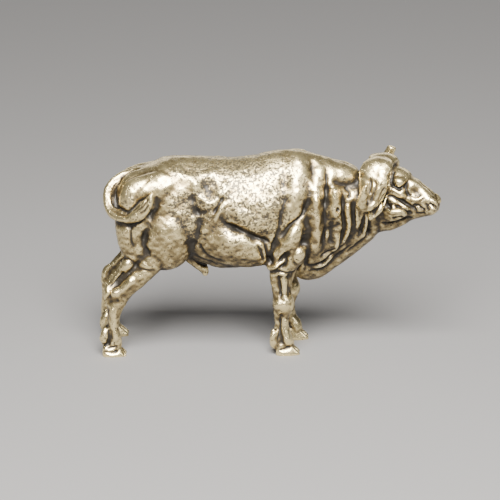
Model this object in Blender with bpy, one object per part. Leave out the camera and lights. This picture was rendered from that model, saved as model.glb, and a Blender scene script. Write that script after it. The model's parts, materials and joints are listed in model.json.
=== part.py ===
"""A small brass figurine of a standing buffalo bull, cast in one piece.

The bull faces +X and its right side is -Y. The head is turned a little to its right.
It is built as a sculptor would build it: rough masses are fused into one skin, the skin
is smoothed, then muscles and folds are pressed in along short strokes.
"""

import math

import bmesh
import bpy
import numpy as np
from mathutils import Matrix, Vector

# The figure's one driving size, in metres: from the hocks to the muzzle.
FIGURE_LENGTH = 0.060

# Every place and size below is in hundredths of that length, as a sculptor's proportions.
UNIT = FIGURE_LENGTH / 100

HOOF_LENGTH = 7.1

# The casting is fused at this grain and then thinned to this many triangles.
CLAY_GRAIN = 0.62
TRIANGLES = 9400

# The body sections from the rump to the neck: place along the body, top, underside,
# half width, height of the widest point, and how full the upper and lower halves are.
BODY = (
    (5.0, 45.6, 37.0, 2.6, 42.0, 2.0, 2.0),
    (6.2, 49.6, 33.5, 6.8, 42.0, 2.0, 2.0),
    (8.5, 52.4, 30.5, 9.3, 42.0, 2.0, 2.0),
    (12.0, 53.8, 29.4, 10.4, 42.0, 2.0, 2.0),
    (17.0, 55.7, 29.0, 11.2, 42.0, 2.0, 2.0),
    (22.0, 57.4, 28.0, 11.6, 41.0, 2.0, 2.0),
    (28.0, 57.2, 26.5, 11.9, 40.0, 2.1, 2.1),
    (34.0, 57.0, 24.3, 12.4, 40.0, 2.2, 2.2),
    (40.0, 56.8, 24.1, 12.9, 40.5, 2.3, 2.2),
    (46.0, 57.6, 24.8, 13.0, 41.0, 2.25, 2.2),
    (51.0, 58.8, 24.8, 12.4, 41.0, 2.1, 2.1),
    (56.0, 59.2, 22.0, 11.5, 41.0, 1.9, 1.9),
    (61.0, 58.6, 19.6, 10.6, 42.5, 1.9, 1.6),
    (66.0, 57.4, 20.6, 9.6, 43.5, 1.9, 1.45),
    (71.0, 55.5, 24.2, 8.6, 44.0, 1.9, 1.45),
    (76.0, 53.3, 28.1, 7.5, 44.5, 1.9, 1.6),
    (80.0, 52.1, 31.6, 6.5, 44.5, 2.0, 1.8),
    (84.0, 50.0, 36.4, 4.4, 44.5, 2.0, 2.0),
)

# The head turns about this upright line, towards the bull's right.
HEAD_PLACE = 82.0
HEAD_TURN = math.radians(16)

# The head sections from the nape to the muzzle, ahead of that line, as in BODY.
HEAD = (
    (-3.0, 50.0, 37.2, 4.2, 44.5, 2.0, 2.0),
    (0.0, 53.0, 34.6, 5.2, 45.0, 2.1, 2.0),
    (3.0, 54.2, 34.9, 5.5, 46.0, 2.2, 2.0),
    (6.0, 54.6, 36.1, 5.3, 47.0, 2.2, 2.0),
    (8.5, 53.5, 37.4, 4.8, 47.0, 2.2, 2.0),
    (10.5, 51.5, 38.8, 4.1, 46.2, 2.2, 2.0),
    (13.0, 49.5, 39.9, 3.7, 45.3, 2.2, 2.1),
    (15.3, 47.7, 40.6, 3.6, 44.6, 2.3, 2.2),
    (17.1, 45.9, 41.3, 3.5, 43.9, 2.4, 2.3),
    (18.1, 44.7, 42.3, 2.6, 43.6, 2.3, 2.3),
)


def smooth_path(rows, steps):
    """A smooth curve through the rows, with this many steps between each two."""
    rows = np.array(rows, float)
    before = np.vstack([2 * rows[0] - rows[1], rows, 2 * rows[-1] - rows[-2]])
    path = []
    for start in range(len(rows) - 1):
        a, b, c, d = before[start : start + 4]
        for t in np.arange(steps) / steps:
            path.append(
                0.5
                * (
                    2 * b
                    + (c - a) * t
                    + (2 * a - 5 * b + 4 * c - d) * t**2
                    + (3 * b - a - 3 * c + d) * t**3
                )
            )
    path.append(rows[-1])
    return np.array(path)


def skin_rings(clay, rings):
    """One closed shell through rings of equally many points."""
    loops = [[clay.verts.new(point) for point in ring] for ring in rings]
    faces = []
    for low, high in zip(loops, loops[1:]):
        for side in range(len(low)):
            after = (side + 1) % len(low)
            faces.append(clay.faces.new((low[side], low[after], high[after], high[side])))
    faces.append(clay.faces.new(loops[0][::-1]))
    faces.append(clay.faces.new(loops[-1]))
    bmesh.ops.recalc_face_normals(clay, faces=faces)


def section_ring(top, underside, half_width, widest, upper, lower, sides=40):
    """A body section as (sideways, height) points, like an egg with set fullness."""
    ring = []
    for angle in np.arange(sides) * 2 * math.pi / sides:
        fullness = upper if math.sin(angle) > 0 else lower
        height = top - widest if math.sin(angle) > 0 else widest - underside
        sideways = math.copysign(abs(math.cos(angle)) ** (2 / fullness), math.cos(angle))
        upwards = math.copysign(abs(math.sin(angle)) ** (2 / fullness), math.sin(angle))
        ring.append((half_width * sideways, widest + height * upwards))
    return ring


def add_sections(clay, sections, place):
    """A shell through body sections. place turns (ahead, sideways, height) into a point."""
    rings = []
    for ahead, *shape in smooth_path(sections, 4):
        rings.append([place(ahead, sideways, up) for sideways, up in section_ring(*shape)])
    skin_rings(clay, rings)


def add_limb(clay, stations, flat_to=(0, 1, 0), place=None, sides=24, steps=5):
    """A tapering limb. Each station is a point, the radius across the limb in its own
    plane, and the radius towards flat_to."""
    path = smooth_path(stations, steps)
    centres = [Vector(row[:3]) for row in path]
    rings = []
    for i, row in enumerate(path):
        along = centres[min(i + 1, len(path) - 1)] - centres[max(i - 1, 0)]
        across = along.cross(Vector(flat_to)).normalized()
        sideways = across.cross(along).normalized()
        wide, thick = max(row[3], 0.05), max(row[4], 0.05)
        ring = []
        for angle in np.arange(sides) * 2 * math.pi / sides:
            offset = across * math.cos(angle) * wide + sideways * math.sin(angle) * thick
            point = centres[i] + offset
            ring.append(place(*point) if place else point)
        rings.append(ring)
    skin_rings(clay, rings)


def add_mass(clay, centre, radii, pitch=0.0, yaw=0.0, place=None):
    """A rounded mass. Its radii are along, sideways and upwards, before it is pitched
    nose up and turned, in degrees."""
    turn = Matrix.Rotation(math.radians(yaw), 3, "Z") @ Matrix.Rotation(math.radians(-pitch), 3, "Y")
    ball = bmesh.ops.create_icosphere(clay, subdivisions=4, radius=1.0)
    for vert in ball["verts"]:
        shaped = Vector(c * r for c, r in zip(vert.co, radii))
        point = Vector(centre) + turn @ shaped
        vert.co = place(*point) if place else point


def body_place(ahead, sideways, up):
    return Vector((ahead, sideways, up))


def head_place(ahead, sideways, up):
    """A point of the head, which is turned about HEAD_PLACE."""
    return Vector(
        (
            HEAD_PLACE + ahead * math.cos(HEAD_TURN) + sideways * math.sin(HEAD_TURN),
            sideways * math.cos(HEAD_TURN) - ahead * math.sin(HEAD_TURN),
            up,
        )
    )


# Masses


def add_trunk(clay):
    """The trunk, with the muscles that show through the skin on both sides."""
    add_sections(clay, BODY, body_place)
    for side in (-1, 1):
        # The rump, the great muscle of the thigh and the one behind it.
        add_mass(clay, (17.5, 6.2 * side, 47.6), (10.0, 4.8, 6.4), pitch=10)
        add_mass(clay, (19.8, 8.2 * side, 36.0), (7.8, 4.9, 10.8), pitch=-8)
        add_mass(clay, (10.8, 7.4 * side, 38.2), (5.8, 4.6, 13.0), pitch=3)
        # The belly, below its crease.
        add_mass(clay, (41.0, 7.6 * side, 32.6), (13.0, 5.2, 6.4), pitch=-8)
        # The upper arm and the elbow.
        add_mass(clay, (55.6, 9.3 * side, 34.6), (8.0, 3.1, 3.4), pitch=51)
        add_mass(clay, (58.5, 8.6 * side, 31.2), (2.8, 3.3, 4.7), pitch=-10)
        add_mass(clay, (52.4, 9.1 * side, 27.9), (3.5, 2.2, 2.1), pitch=38)
    # The sheath under the belly.
    add_limb(
        clay,
        (
            (23.0, 0, 29.2, 1.4, 1.6),
            (27.0, 0, 26.8, 1.8, 1.7),
            (30.4, 0, 24.4, 1.8, 1.5),
            (32.1, 0, 22.6, 1.3, 1.1),
            (32.4, 0, 21.4, 0.8, 0.8),
        ),
    )


def add_foot(clay, ahead, sideways, claw, claw_height):
    """A cloven hoof: two toes that widen down to a flat sole, and two dewclaws behind."""
    for toe in (-1, 1):
        rings = []
        for height, size, back in (
            (-1.0, 0.88, 0.1),
            (0.0, 1.0, 0.0),
            (0.5, 1.05, 0.0),
            (1.8, 0.92, 0.5),
            (3.3, 0.64, 1.2),
        ):
            ring = []
            for angle in np.arange(24) * 2 * math.pi / 24:
                along = math.cos(angle)
                # The toe is blunt behind and narrower ahead.
                width = math.copysign(abs(math.sin(angle)) ** 0.8, math.sin(angle)) * (1 - 0.28 * along)
                ring.append(
                    (
                        ahead - back + along * size * HOOF_LENGTH / 2,
                        sideways + toe * 1.42 + width * size * 1.45,
                        height,
                    )
                )
            rings.append(ring)
        skin_rings(clay, rings)
        add_mass(clay, (claw, sideways + toe * 1.3, claw_height), (2.1, 1.2, 2.5), pitch=-14)


def add_fore_leg(clay, side, knee, hoof, spread):
    """A fore leg from the elbow down. knee and hoof carry those two ahead, and spread
    carries the hoof outwards."""
    add_limb(
        clay,
        (
            (57.0, 8.6 * side, 32.0, 4.4, 3.2),
            (54.6 + 0.3 * knee, 8.7 * side, 27.0, 4.0, 2.9),
            (53.8 + 0.8 * knee, (8.3 + 0.2 * spread) * side, 22.5, 3.5, 2.7),
            (54.0 + 1.0 * knee, (8.0 + 0.4 * spread) * side, 18.0, 2.8, 2.4),
            (54.3 + 1.0 * knee, (7.8 + 0.5 * spread) * side, 14.8, 3.2, 2.9),
            (53.9 + 1.0 * knee, (7.6 + 0.7 * spread) * side, 12.0, 2.5, 2.2),
            (53.8 + 1.0 * knee, (7.5 + 0.8 * spread) * side, 9.0, 2.0, 1.8),
            (54.3 + 0.7 * knee + 0.2 * hoof, (7.5 + 0.9 * spread) * side, 6.2, 2.4, 2.2),
            (55.5 + 1.0 * hoof, (7.5 + 1.0 * spread) * side, 3.9, 2.5, 2.4),
            (55.4 + 1.0 * hoof, (7.5 + 1.0 * spread) * side, 2.0, 2.2, 2.3),
        ),
    )
    add_foot(clay, 55.7 + hoof, (7.5 + spread) * side, 52.2 + 0.8 * hoof, 4.6)


def add_hind_leg(clay, side, back, spread):
    """A hind leg from the stifle down. back carries the hock and cannon to the rear, and
    spread carries the hoof outwards."""
    add_limb(
        clay,
        (
            (19.6, 8.8 * side, 34.0, 4.4, 3.2),
            (16.4, 9.2 * side, 28.6, 3.7, 3.0),
            (12.3 - 0.3 * back, (9.6 + 0.1 * spread) * side, 23.8, 3.0, 2.6),
            (8.0 - 0.6 * back, (9.9 + 0.2 * spread) * side, 19.8, 2.9, 2.3),
            (5.4 - 0.9 * back, (10.0 + 0.4 * spread) * side, 15.6, 2.7, 2.1),
            (4.6 - 1.0 * back, (10.2 + 0.6 * spread) * side, 11.6, 2.0, 1.8),
            (4.3 - 1.0 * back, (10.4 + 0.7 * spread) * side, 8.2, 1.9, 1.8),
            (4.4 - 0.8 * back, (10.5 + 0.9 * spread) * side, 5.6, 2.4, 2.2),
            (4.7 - 0.4 * back, (10.6 + 1.0 * spread) * side, 2.2, 2.4, 2.4),
        ),
    )
    # The tendon down to the point of the hock.
    add_limb(
        clay,
        (
            (10.8, 8.8 * side, 31.0, 2.4, 2.2),
            (8.0, 9.2 * side, 26.2, 1.5, 1.5),
            (4.9 - 0.2 * back, (9.7 + 0.1 * spread) * side, 21.9, 1.25, 1.3),
            (2.9 - 0.5 * back, (9.9 + 0.2 * spread) * side, 19.4, 1.2, 1.4),
            (3.4 - 0.9 * back, (10.0 + 0.4 * spread) * side, 16.0, 1.1, 1.3),
        ),
    )
    add_foot(clay, 4.9, (10.6 + spread) * side, 2.5 - 0.4 * back, 6.0 - 0.7 * back)


# The tail, which swings round over the right thigh and ends in a leaf-shaped tuft.
TAIL = (
    (12.5, 0.0, 52.9, 1.3, 1.5),
    (8.4, -0.5, 52.3, 1.2, 1.4),
    (5.3, -1.7, 50.9, 1.1, 1.2),
    (3.2, -3.1, 48.4, 1.05, 1.15),
    (2.8, -4.6, 45.2, 1.05, 1.15),
    (3.8, -6.9, 42.8, 1.05, 1.2),
    (6.0, -9.4, 41.6, 1.1, 1.25),
    (8.9, -11.4, 41.6, 1.2, 1.3),
    (11.2, -12.8, 42.7, 1.75, 1.2),
    (13.3, -13.7, 44.8, 2.15, 1.1),
    (15.1, -13.9, 47.3, 1.55, 0.95),
    (16.4, -13.6, 50.0, 0.3, 0.4),
)


def add_tail(clay):
    add_limb(clay, TAIL, flat_to=(0.35, 1, 0))
    # The thin web that the casting leaves in the hollow behind the tail.
    web = (
        (9.0, -0.4, 51.2, 0.9, 2.2),
        (5.8, -1.8, 49.0, 0.9, 2.4),
        (4.8, -3.2, 46.0, 0.9, 2.4),
        (6.0, -5.6, 43.6, 0.9, 2.4),
        (8.6, -8.0, 43.0, 0.9, 2.4),
    )
    add_limb(clay, web, flat_to=(0.6, 1, 0))


def add_head(clay):
    """The head with its brows, cheeks, muzzle, ears and horns."""
    add_sections(clay, HEAD, head_place)
    for side in (-1, 1):
        add_mass(clay, (7.4, 4.0 * side, 51.4 - 0.5 * side), (2.0, 1.6, 1.6), pitch=-25, place=head_place)
        add_mass(clay, (6.0, 3.7 * side, 42.6), (4.3, 2.2, 3.4), pitch=15, place=head_place)
        add_mass(clay, (16.9, 2.3 * side, 44.8), (1.7, 1.5, 1.6), pitch=-30, place=head_place)
        # The ear hangs behind and below the horn.
        add_limb(
            clay,
            (
                (4.0, 4.4 * side, 48.4, 0.9, 0.8),
                (3.0, 6.2 * side, 46.6, 1.5, 0.7),
                (1.6, 7.8 * side, 44.2, 1.9, 0.6),
                (0.4, 8.5 * side, 42.0, 1.4, 0.5),
                (-0.4, 8.8 * side, 40.4, 0.3, 0.3),
            ),
            flat_to=(0.2, 1, 0.3),
            place=head_place,
        )
    for side, lift in ((-1, 0.0), (1, 4.0)):
        add_horn(clay, side, lift)


def add_horn(clay, side, lift):
    """A horn, broad at the boss, sweeping down beside the head and up to its tip."""
    add_limb(
        clay,
        (
            (1.3, -0.8 * side, 54.9, 1.9, 3.2),
            (1.0, 1.4 * side, 55.7, 2.0, 3.9),
            (0.7, 4.0 * side, 55.4, 2.0, 4.5),
            (0.5, 6.4 * side, 52.8, 1.9, 4.7),
            (0.2, 8.0 * side, 49.0, 1.7, 4.1),
            (-0.7, 9.2 * side, 45.9, 1.5, 3.0),
            (-1.9, 10.4 * side, 44.7, 1.3, 2.0),
            (-1.9, 11.7 * side, 46.4, 1.2, 1.5),
            (-1.0, 12.3 * side, 49.8 + 0.5 * lift, 1.1 + 0.12 * lift, 1.15 + 0.15 * lift),
            (0.4 + 0.2 * lift, 12.2 * side, 53.0 + 1.05 * lift, 0.5 + 0.15 * lift, 0.5 + 0.2 * lift),
        ),
        flat_to=(-1, 0, 0),
        place=head_place,
    )


def mesh_object(name, mesh):
    thing = bpy.data.objects.new(name, mesh)
    bpy.context.scene.collection.objects.link(thing)
    return thing


def fused(clay, grain):
    """The clay's shells as one skin, by a voxel Remesh, as an evaluated mesh."""
    mesh = bpy.data.meshes.new("clay")
    clay.to_mesh(mesh)
    clay.free()
    lump = mesh_object("clay", mesh)
    remesh = lump.modifiers.new("fuse", "REMESH")
    remesh.mode = "VOXEL"
    remesh.voxel_size = grain
    graph = bpy.context.evaluated_depsgraph_get()
    skin = bpy.data.meshes.new_from_object(lump.evaluated_get(graph))
    bpy.data.objects.remove(lump)
    return skin


def points_of(mesh):
    points = np.empty(len(mesh.vertices) * 3, np.float32)
    mesh.vertices.foreach_get("co", points)
    return points.reshape(-1, 3).astype(float)


def edges_of(mesh):
    ends = np.empty(len(mesh.edges) * 2, np.int32)
    mesh.edges.foreach_get("vertices", ends)
    return ends.reshape(-1, 2)


def normals_of(mesh):
    normals = np.empty(len(mesh.vertices) * 3, np.float32)
    mesh.vertex_normals.foreach_get("vector", normals)
    return normals.reshape(-1, 3).astype(float)


def set_points(mesh, points):
    mesh.vertices.foreach_set("co", points.astype(np.float32).ravel())
    mesh.update()


def relaxed(points, edges, rounds, amount=1.0):
    """The points after rounds of smoothing that keep the volume. amount scales it by point."""
    count = np.bincount(edges.ravel(), minlength=len(points))[:, None]
    for _ in range(rounds):
        for step in (0.5, -0.52):
            total = np.zeros_like(points)
            for axis in range(3):
                total[:, axis] = np.bincount(
                    edges[:, 0], points[edges[:, 1], axis], len(points)
                ) + np.bincount(edges[:, 1], points[edges[:, 0], axis], len(points))
            points = points + step * amount * (total / count - points)
    return points


# Carving. A stroke is (sides, width, depth, lip, path), in the side view: ahead and up.
# It presses a groove that fades at both ends, or raises a ridge where depth is negative.
# lip raises the skin on the left of the path, or on its right where it is negative.
# A pad is (sides, ahead, up, half length, half height, pitch, rise): a swelling or a dent.

BOTH, RIGHT = (-1, 1), (-1,)

BODY_PADS = (
    # The hollow of the flank behind the hip bone, and the dent in the loin.
    (BOTH, 31.9, 50.0, 2.6, 3.4, 0, -0.7),
    (BOTH, 26.3, 55.6, 5.9, 1.5, 0, -0.3),
    # The swell of the thigh, the rump, the ribs and the belly.
    (BOTH, 21.6, 37.2, 4.7, 6.2, -10, 0.6),
    (BOTH, 24.0, 46.1, 4.1, 3.4, 0, -0.4),
    (BOTH, 8.1, 35.4, 2.4, 5.2, 5, 0.4),
    (BOTH, 9.6, 50.1, 4.4, 4.3, 42, 1.1),
    (BOTH, 44.6, 46.5, 11.2, 8.0, -18, 0.4),
    (BOTH, 45.7, 40.8, 7.6, 2.5, -24, 0.5),
    (BOTH, 41.6, 33.7, 9.7, 3.7, -14, 1.3),
    (BOTH, 34.0, 38.0, 3.5, 4.9, -30, -0.4),
    # The shoulder, the upper arm, the ball of the elbow and the pocket behind it.
    (BOTH, 58.1, 49.3, 12.4, 3.4, 86, 0.9),
    (BOTH, 56.3, 36.6, 5.0, 2.2, 58, 1.1),
    (BOTH, 58.7, 31.5, 2.1, 2.2, 0, 1.1),
    (BOTH, 57.2, 29.5, 2.9, 2.5, 0, 0.6),
    (BOTH, 54.3, 29.8, 2.4, 1.0, 55, -1.5),
    (BOTH, 51.0, 32.6, 1.5, 2.5, 0, 0.8),
    # The neck: the swelling behind the horn, the hollow under it and a small pit.
    (BOTH, 73.1, 54.2, 4.4, 2.5, -12, 0.7),
    (BOTH, 74.0, 50.2, 3.8, 1.5, 0, -0.6),
)

BODY_STROKES = (
    # The hip bone's ridges and the folds below the flank.
    (BOTH, 1.18, -0.6, 0, (
        (15.1, 55.2), (19.6, 54.9), (24.0, 53.4), (29.0, 52.4), (32.8, 53.6), (36.9, 55.1))),
    (BOTH, 1.00, -0.9, 0, ((28.1, 52.4), (30.1, 49.2), (32.2, 46.7), (33.7, 45.2))),
    (BOTH, 0.88, -0.6, 0, ((33.4, 45.2), (35.4, 47.1), (36.9, 49.9), (38.4, 52.4))),
    (BOTH, 0.65, 0.8, 0, ((36.9, 48.7), (35.4, 45.9), (34.0, 43.1))),
    (BOTH, 0.76, -0.6, 0, ((37.5, 46.9), (35.7, 44.2), (34.0, 40.7))),
    # The valley before the thigh, with the groove in its floor.
    (BOTH, 2.21, 1.4, 0, (
        (26.6, 48.6), (28.1, 45.5), (29.3, 42.4), (28.7, 38.6), (27.2, 34.6), (26.0, 31.0))),
    (BOTH, 0.71, 0.5, 0, ((28.4, 44.5), (29.3, 41.7), (28.1, 38.0), (27.2, 33.9), (25.1, 30.2))),
    # The clefts of the thigh, and the fold above the gaskin.
    (BOTH, 0.88, 1.3, 0, (
        (15.4, 41.6), (14.3, 38.7), (13.7, 35.9), (14.0, 33.1), (14.9, 31.2), (16.0, 29.9))),
    (BOTH, 0.59, 0.5, 0, ((13.7, 37.7), (13.4, 35.0), (14.3, 31.9))),
    (BOTH, 0.82, -0.4, 0, ((10.7, 36.0), (12.5, 33.2), (14.3, 30.3))),
    (BOTH, 0.71, 0.7, 0.3, (
        (5.4, 27.6), (8.1, 29.3), (9.9, 28.9), (11.9, 27.1), (14.6, 26.4), (17.5, 26.5))),
    # The hollow between the gaskin and the tendon of the hock.
    (BOTH, 0.65, 0.6, 0, ((6.3, 25.7), (8.4, 24.7), (10.7, 25.8), (13.1, 26.3))),
    (BOTH, 0.76, 1.3, 0, ((8.1, 25.4), (6.6, 23.5), (4.9, 21.8), (2.8, 19.9))),
    (BOTH, 0.88, -0.6, 0, ((10.1, 23.8), (7.8, 21.2), (5.4, 19.3), (3.4, 17.9))),
    (BOTH, 0.59, -0.4, 0, ((5.7, 23.4), (5.4, 23.1), (3.7, 20.7), (1.6, 16.5))),
    # The belly crease under the ribs, and the folds where the belly meets the elbow.
    (BOTH, 0.82, 1.2, 0.7, (
        (36.0, 42.8), (37.8, 40.5), (40.4, 38.9), (43.4, 37.4), (46.3, 36.1), (49.3, 34.8),
        (51.9, 34.0))),
    (BOTH, 2.21, 0.8, 0, (
        (36.9, 42.2), (40.4, 39.7), (43.4, 38.1), (46.3, 36.9), (49.3, 35.5), (51.9, 34.3))),
    (BOTH, 0.56, 1.0, 0, ((48.1, 34.6), (49.3, 32.0), (49.9, 29.3), (50.1, 27.1))),
    (BOTH, 0.56, 0.7, 0, ((46.3, 34.6), (47.8, 31.6), (48.7, 28.3))),
    # The groove behind the shoulder, deepest above the elbow.
    (BOTH, 0.76, 1.0, 0, (
        (55.4, 56.1), (55.1, 52.5), (54.6, 48.8), (54.3, 46.0), (53.7, 43.1), (53.4, 40.1),
        (52.5, 36.9), (51.3, 33.4), (50.4, 29.9), (50.1, 26.6))),
    (BOTH, 2.06, 0.7, 0, ((55.1, 55.7), (54.9, 49.1), (54.6, 45.4))),
    (BOTH, 1.06, 0.9, 0, ((52.5, 36.9), (51.3, 33.0), (50.4, 29.2), (50.1, 26.5))),
    # The upper arm's outline and the folds of the elbow.
    (BOTH, 0.71, 1.3, 0, (
        (52.8, 35.7), (54.6, 37.6), (56.3, 39.5), (58.1, 41.3), (59.9, 42.9), (60.7, 45.0),
        (61.9, 48.0))),
    (BOTH, 0.76, 1.1, 0, (
        (60.1, 39.3), (60.7, 35.8), (61.0, 32.8), (61.3, 29.6), (61.0, 26.0), (60.4, 23.0))),
    (BOTH, 0.65, 0.9, 0, ((50.7, 24.8), (53.1, 25.5), (56.0, 25.0), (58.4, 24.9), (60.1, 26.7))),
    (BOTH, 0.53, -1.0, 0, ((50.4, 26.2), (52.8, 27.8), (55.1, 30.0))),
)

LEG_PADS = (
    # The muscle of the forearm, the knee and the hock.
    (BOTH, 54.7, 21.2, 1.2, 3.1, 0, 0.6),
    (BOTH, 54.6, 15.8, 2.6, 2.0, 0, 0.6),
    (BOTH, 4.9, 19.4, 1.8, 1.5, 30, 0.5),
)

LEG_STROKES = (
    # The fore leg: the grooves of the forearm, the knee, and the tendon behind the bone.
    (BOTH, 0.74, 1.1, 0, ((52.9, 24.9), (53.1, 21.2), (53.4, 17.6))),
    (BOTH, 0.76, 1.2, 0, ((56.2, 25.8), (56.5, 21.9), (56.3, 18.2))),
    (BOTH, 0.59, 0.4, 0, ((52.5, 18.2), (54.6, 16.5), (56.9, 14.9))),
    (BOTH, 0.59, 0.5, 0, ((53.1, 13.1), (55.1, 11.3), (56.9, 9.9))),
    (BOTH, 0.65, 0.8, 0, ((53.5, 12.7), (53.4, 9.2), (53.1, 6.5), (52.5, 3.6))),
    (BOTH, 0.71, -0.6, 0, ((54.9, 11.7), (54.6, 8.2), (55.1, 5.3), (56.0, 2.8))),
    # The hind leg: the groove behind the bone, the fetlock and the hoof.
    (BOTH, 0.56, 0.8, 0, ((2.5, 16.4), (2.5, 9.7), (2.2, 3.8))),
    (BOTH, 0.53, 0.6, 0, ((3.4, 8.7), (3.4, 6.0), (2.8, 4.1))),
    (BOTH, 0.50, 0.6, 0, ((0.4, 2.9), (2.2, 3.5), (3.7, 4.5))),
)

TAIL_STROKES = (
    # The line where the tail lies against the rump, and the shadow under it.
    (RIGHT, 0.50, 0.9, 0, (
        (11.0, 53.4), (7.2, 51.6), (4.9, 49.6), (4.0, 47.4), (4.6, 45.1), (6.9, 44.1), (9.3, 43.7),
        (11.0, 45.0), (12.2, 46.4), (14.3, 47.6), (16.0, 49.5))),
    (RIGHT, 0.82, 1.0, 0, (
        (4.3, 41.2), (6.6, 40.0), (9.9, 39.8), (13.1, 41.0), (15.7, 42.5), (17.5, 45.3), (17.5, 48.7))),
)

NECK_STROKES = (
    # The folds before the shoulder.
    (BOTH, 0.59, 0.8, 0, ((62.8, 57.4), (62.8, 54.5), (63.1, 52.0), (63.1, 49.5))),
    (BOTH, 0.82, 0.35, 0, ((62.5, 49.9), (61.6, 46.2), (60.7, 42.9))),
    (BOTH, 1.91, -1.3, 0, ((63.7, 53.9), (63.7, 45.6), (63.7, 39.7), (63.4, 33.1), (62.8, 28.5))),
    (BOTH, 0.88, 0.9, 0, ((61.0, 43.5), (61.3, 37.8), (61.0, 32.1))),
    (BOTH, 0.82, 1.3, 0, (
        (66.6, 55.8), (66.9, 51.6), (66.6, 47.1), (66.6, 42.3), (66.3, 37.2), (66.3, 32.7),
        (64.9, 29.2))),
    (BOTH, 1.47, 0.6, 0, ((66.9, 51.5), (66.6, 48.0), (66.6, 44.2))),
    # The upright folds behind the horn and the ear.
    (BOTH, 0.56, 0.851, 0, ((67.8, 38.6), (68.4, 35.7), (68.1, 32.3))),
    (BOTH, 0.65, -0.805, 0, ((68.7, 51.3), (68.7, 46.8), (69.0, 42.6))),
    (BOTH, 0.65, -0.92, 0, ((70.4, 49.6), (70.4, 45.5), (69.9, 41.6))),
    (BOTH, 0.74, 0.943, 0, ((66.9, 40.1), (69.0, 38.4), (71.3, 39.9))),
    (BOTH, 0.62, 1.13, 0, ((71.0, 49.4), (71.6, 44.5), (71.9, 39.5), (71.6, 34.7), (70.4, 30.3))),
    (BOTH, 0.68, -0.805, 0, ((70.4, 36.1), (70.1, 32.7), (69.0, 29.7))),
    (BOTH, 0.82, -1.03, 0, ((73.1, 45.7), (73.1, 41.0), (73.1, 36.4), (71.9, 32.2))),
    (BOTH, 0.85, 1.13, 0, ((74.6, 46.7), (75.1, 42.6), (75.1, 38.6), (74.3, 34.5), (72.5, 30.4))),
    (BOTH, 0.56, 1.13, 0, ((76.9, 47.9), (77.2, 42.3), (77.2, 37.1), (76.0, 33.1))),
    # The hollow under the nape.
    (BOTH, 0.85, 0.8, 0, ((67.8, 52.2), (71.0, 51.1), (74.3, 50.8), (77.5, 51.8))),
    (BOTH, 0.59, 1.0, 0, ((76.3, 54.2), (77.2, 52.9), (77.8, 51.2), (77.5, 48.3))),
    # The folds that sweep back along the dewlap.
    (BOTH, 0.56, 1.3, 0, (
        (60.1, 27.0), (61.9, 25.2), (64.6, 25.3), (67.5, 27.1), (70.4, 29.9), (72.8, 32.5))),
    (BOTH, 0.50, 1.1, 0, ((61.6, 23.5), (65.1, 23.5), (68.1, 25.2), (71.3, 28.4), (74.6, 32.0))),
    (BOTH, 0.47, 0.8, 0, ((72.5, 28.4), (75.4, 30.9), (78.1, 33.5), (80.7, 36.4))),
)

HEAD_PADS = (
    # The jaw, the ball of the eye and the side of the nose.
    (BOTH, 7.3, 42.4, 3.5, 1.8, 4, 0.5),
    (BOTH, 12.2, 47.7, 2.1, 1.5, -30, -0.5),
)

HEAD_STROKES = (
    # The eye under its brow, and the groove down from its inner corner.
    (BOTH, 0.50, 0.7, 0, ((5.8, 54.7), (5.6, 52.6), (5.3, 50.1))),
    (BOTH, 0.41, 1.3, 0, ((4.8, 50.8), (6.3, 49.6), (7.7, 49.3), (9.3, 50.4))),
    (BOTH, 0.41, 1.1, 0, ((9.7, 52.0), (9.5, 49.7), (10.0, 47.8), (11.0, 46.7))),
    # The cheek's folds and the line of the jaw.
    (BOTH, 0.44, 1.3, 0, (
        (4.1, 47.0), (5.8, 46.8), (7.5, 46.0), (8.8, 45.5), (9.9, 44.7), (11.1, 43.8), (12.9, 42.3))),
    (BOTH, 0.44, -0.6, 0, ((5.3, 45.5), (7.6, 45.2), (9.3, 44.3), (10.6, 42.9))),
    (BOTH, 0.41, 1.2, 0, ((6.0, 44.4), (7.7, 44.2), (9.0, 43.5), (10.0, 42.6), (11.1, 41.3))),
    (BOTH, 0.68, 1.3, 0, ((4.2, 48.5), (3.6, 46.4), (4.2, 44.2), (6.1, 43.3))),
    (BOTH, 0.44, -0.6, 0, ((3.6, 43.6), (5.3, 42.7), (7.4, 42.9), (9.5, 42.8), (10.6, 41.7))),
    (BOTH, 0.47, 1.4, 0, ((1.4, 39.1), (3.3, 38.2), (5.5, 38.2), (8.4, 39.0), (11.4, 40.1))),
    # The mouth, the nostril and the ridge of the nose.
    (BOTH, 0.41, 1.3, 0, ((16.1, 45.6), (17.3, 44.8), (17.9, 44.5), (18.5, 44.7))),
    (BOTH, 0.62, -0.7, 0, ((9.9, 51.9), (12.3, 50.3), (14.7, 48.3), (16.6, 46.4), (18.1, 44.9))),
)


def faded(amount):
    amount = np.clip(amount, 0, 1)
    return amount * amount * (3 - 2 * amount)


def distance_to(points, path):
    """The distance from each point to the nearest of the path's points."""
    nearest = np.full(len(points), 99.0)
    for spot in path:
        nearest = np.minimum(nearest, np.sqrt(((points - spot) ** 2).sum(1)))
    return nearest


def on_side(sideways, outward, side):
    """How far a point counts as on this side of the figure and facing out of it."""
    return faded(0.5 + sideways * side / 1.2) * faded((outward * side + 0.35) / 0.6)


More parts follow.
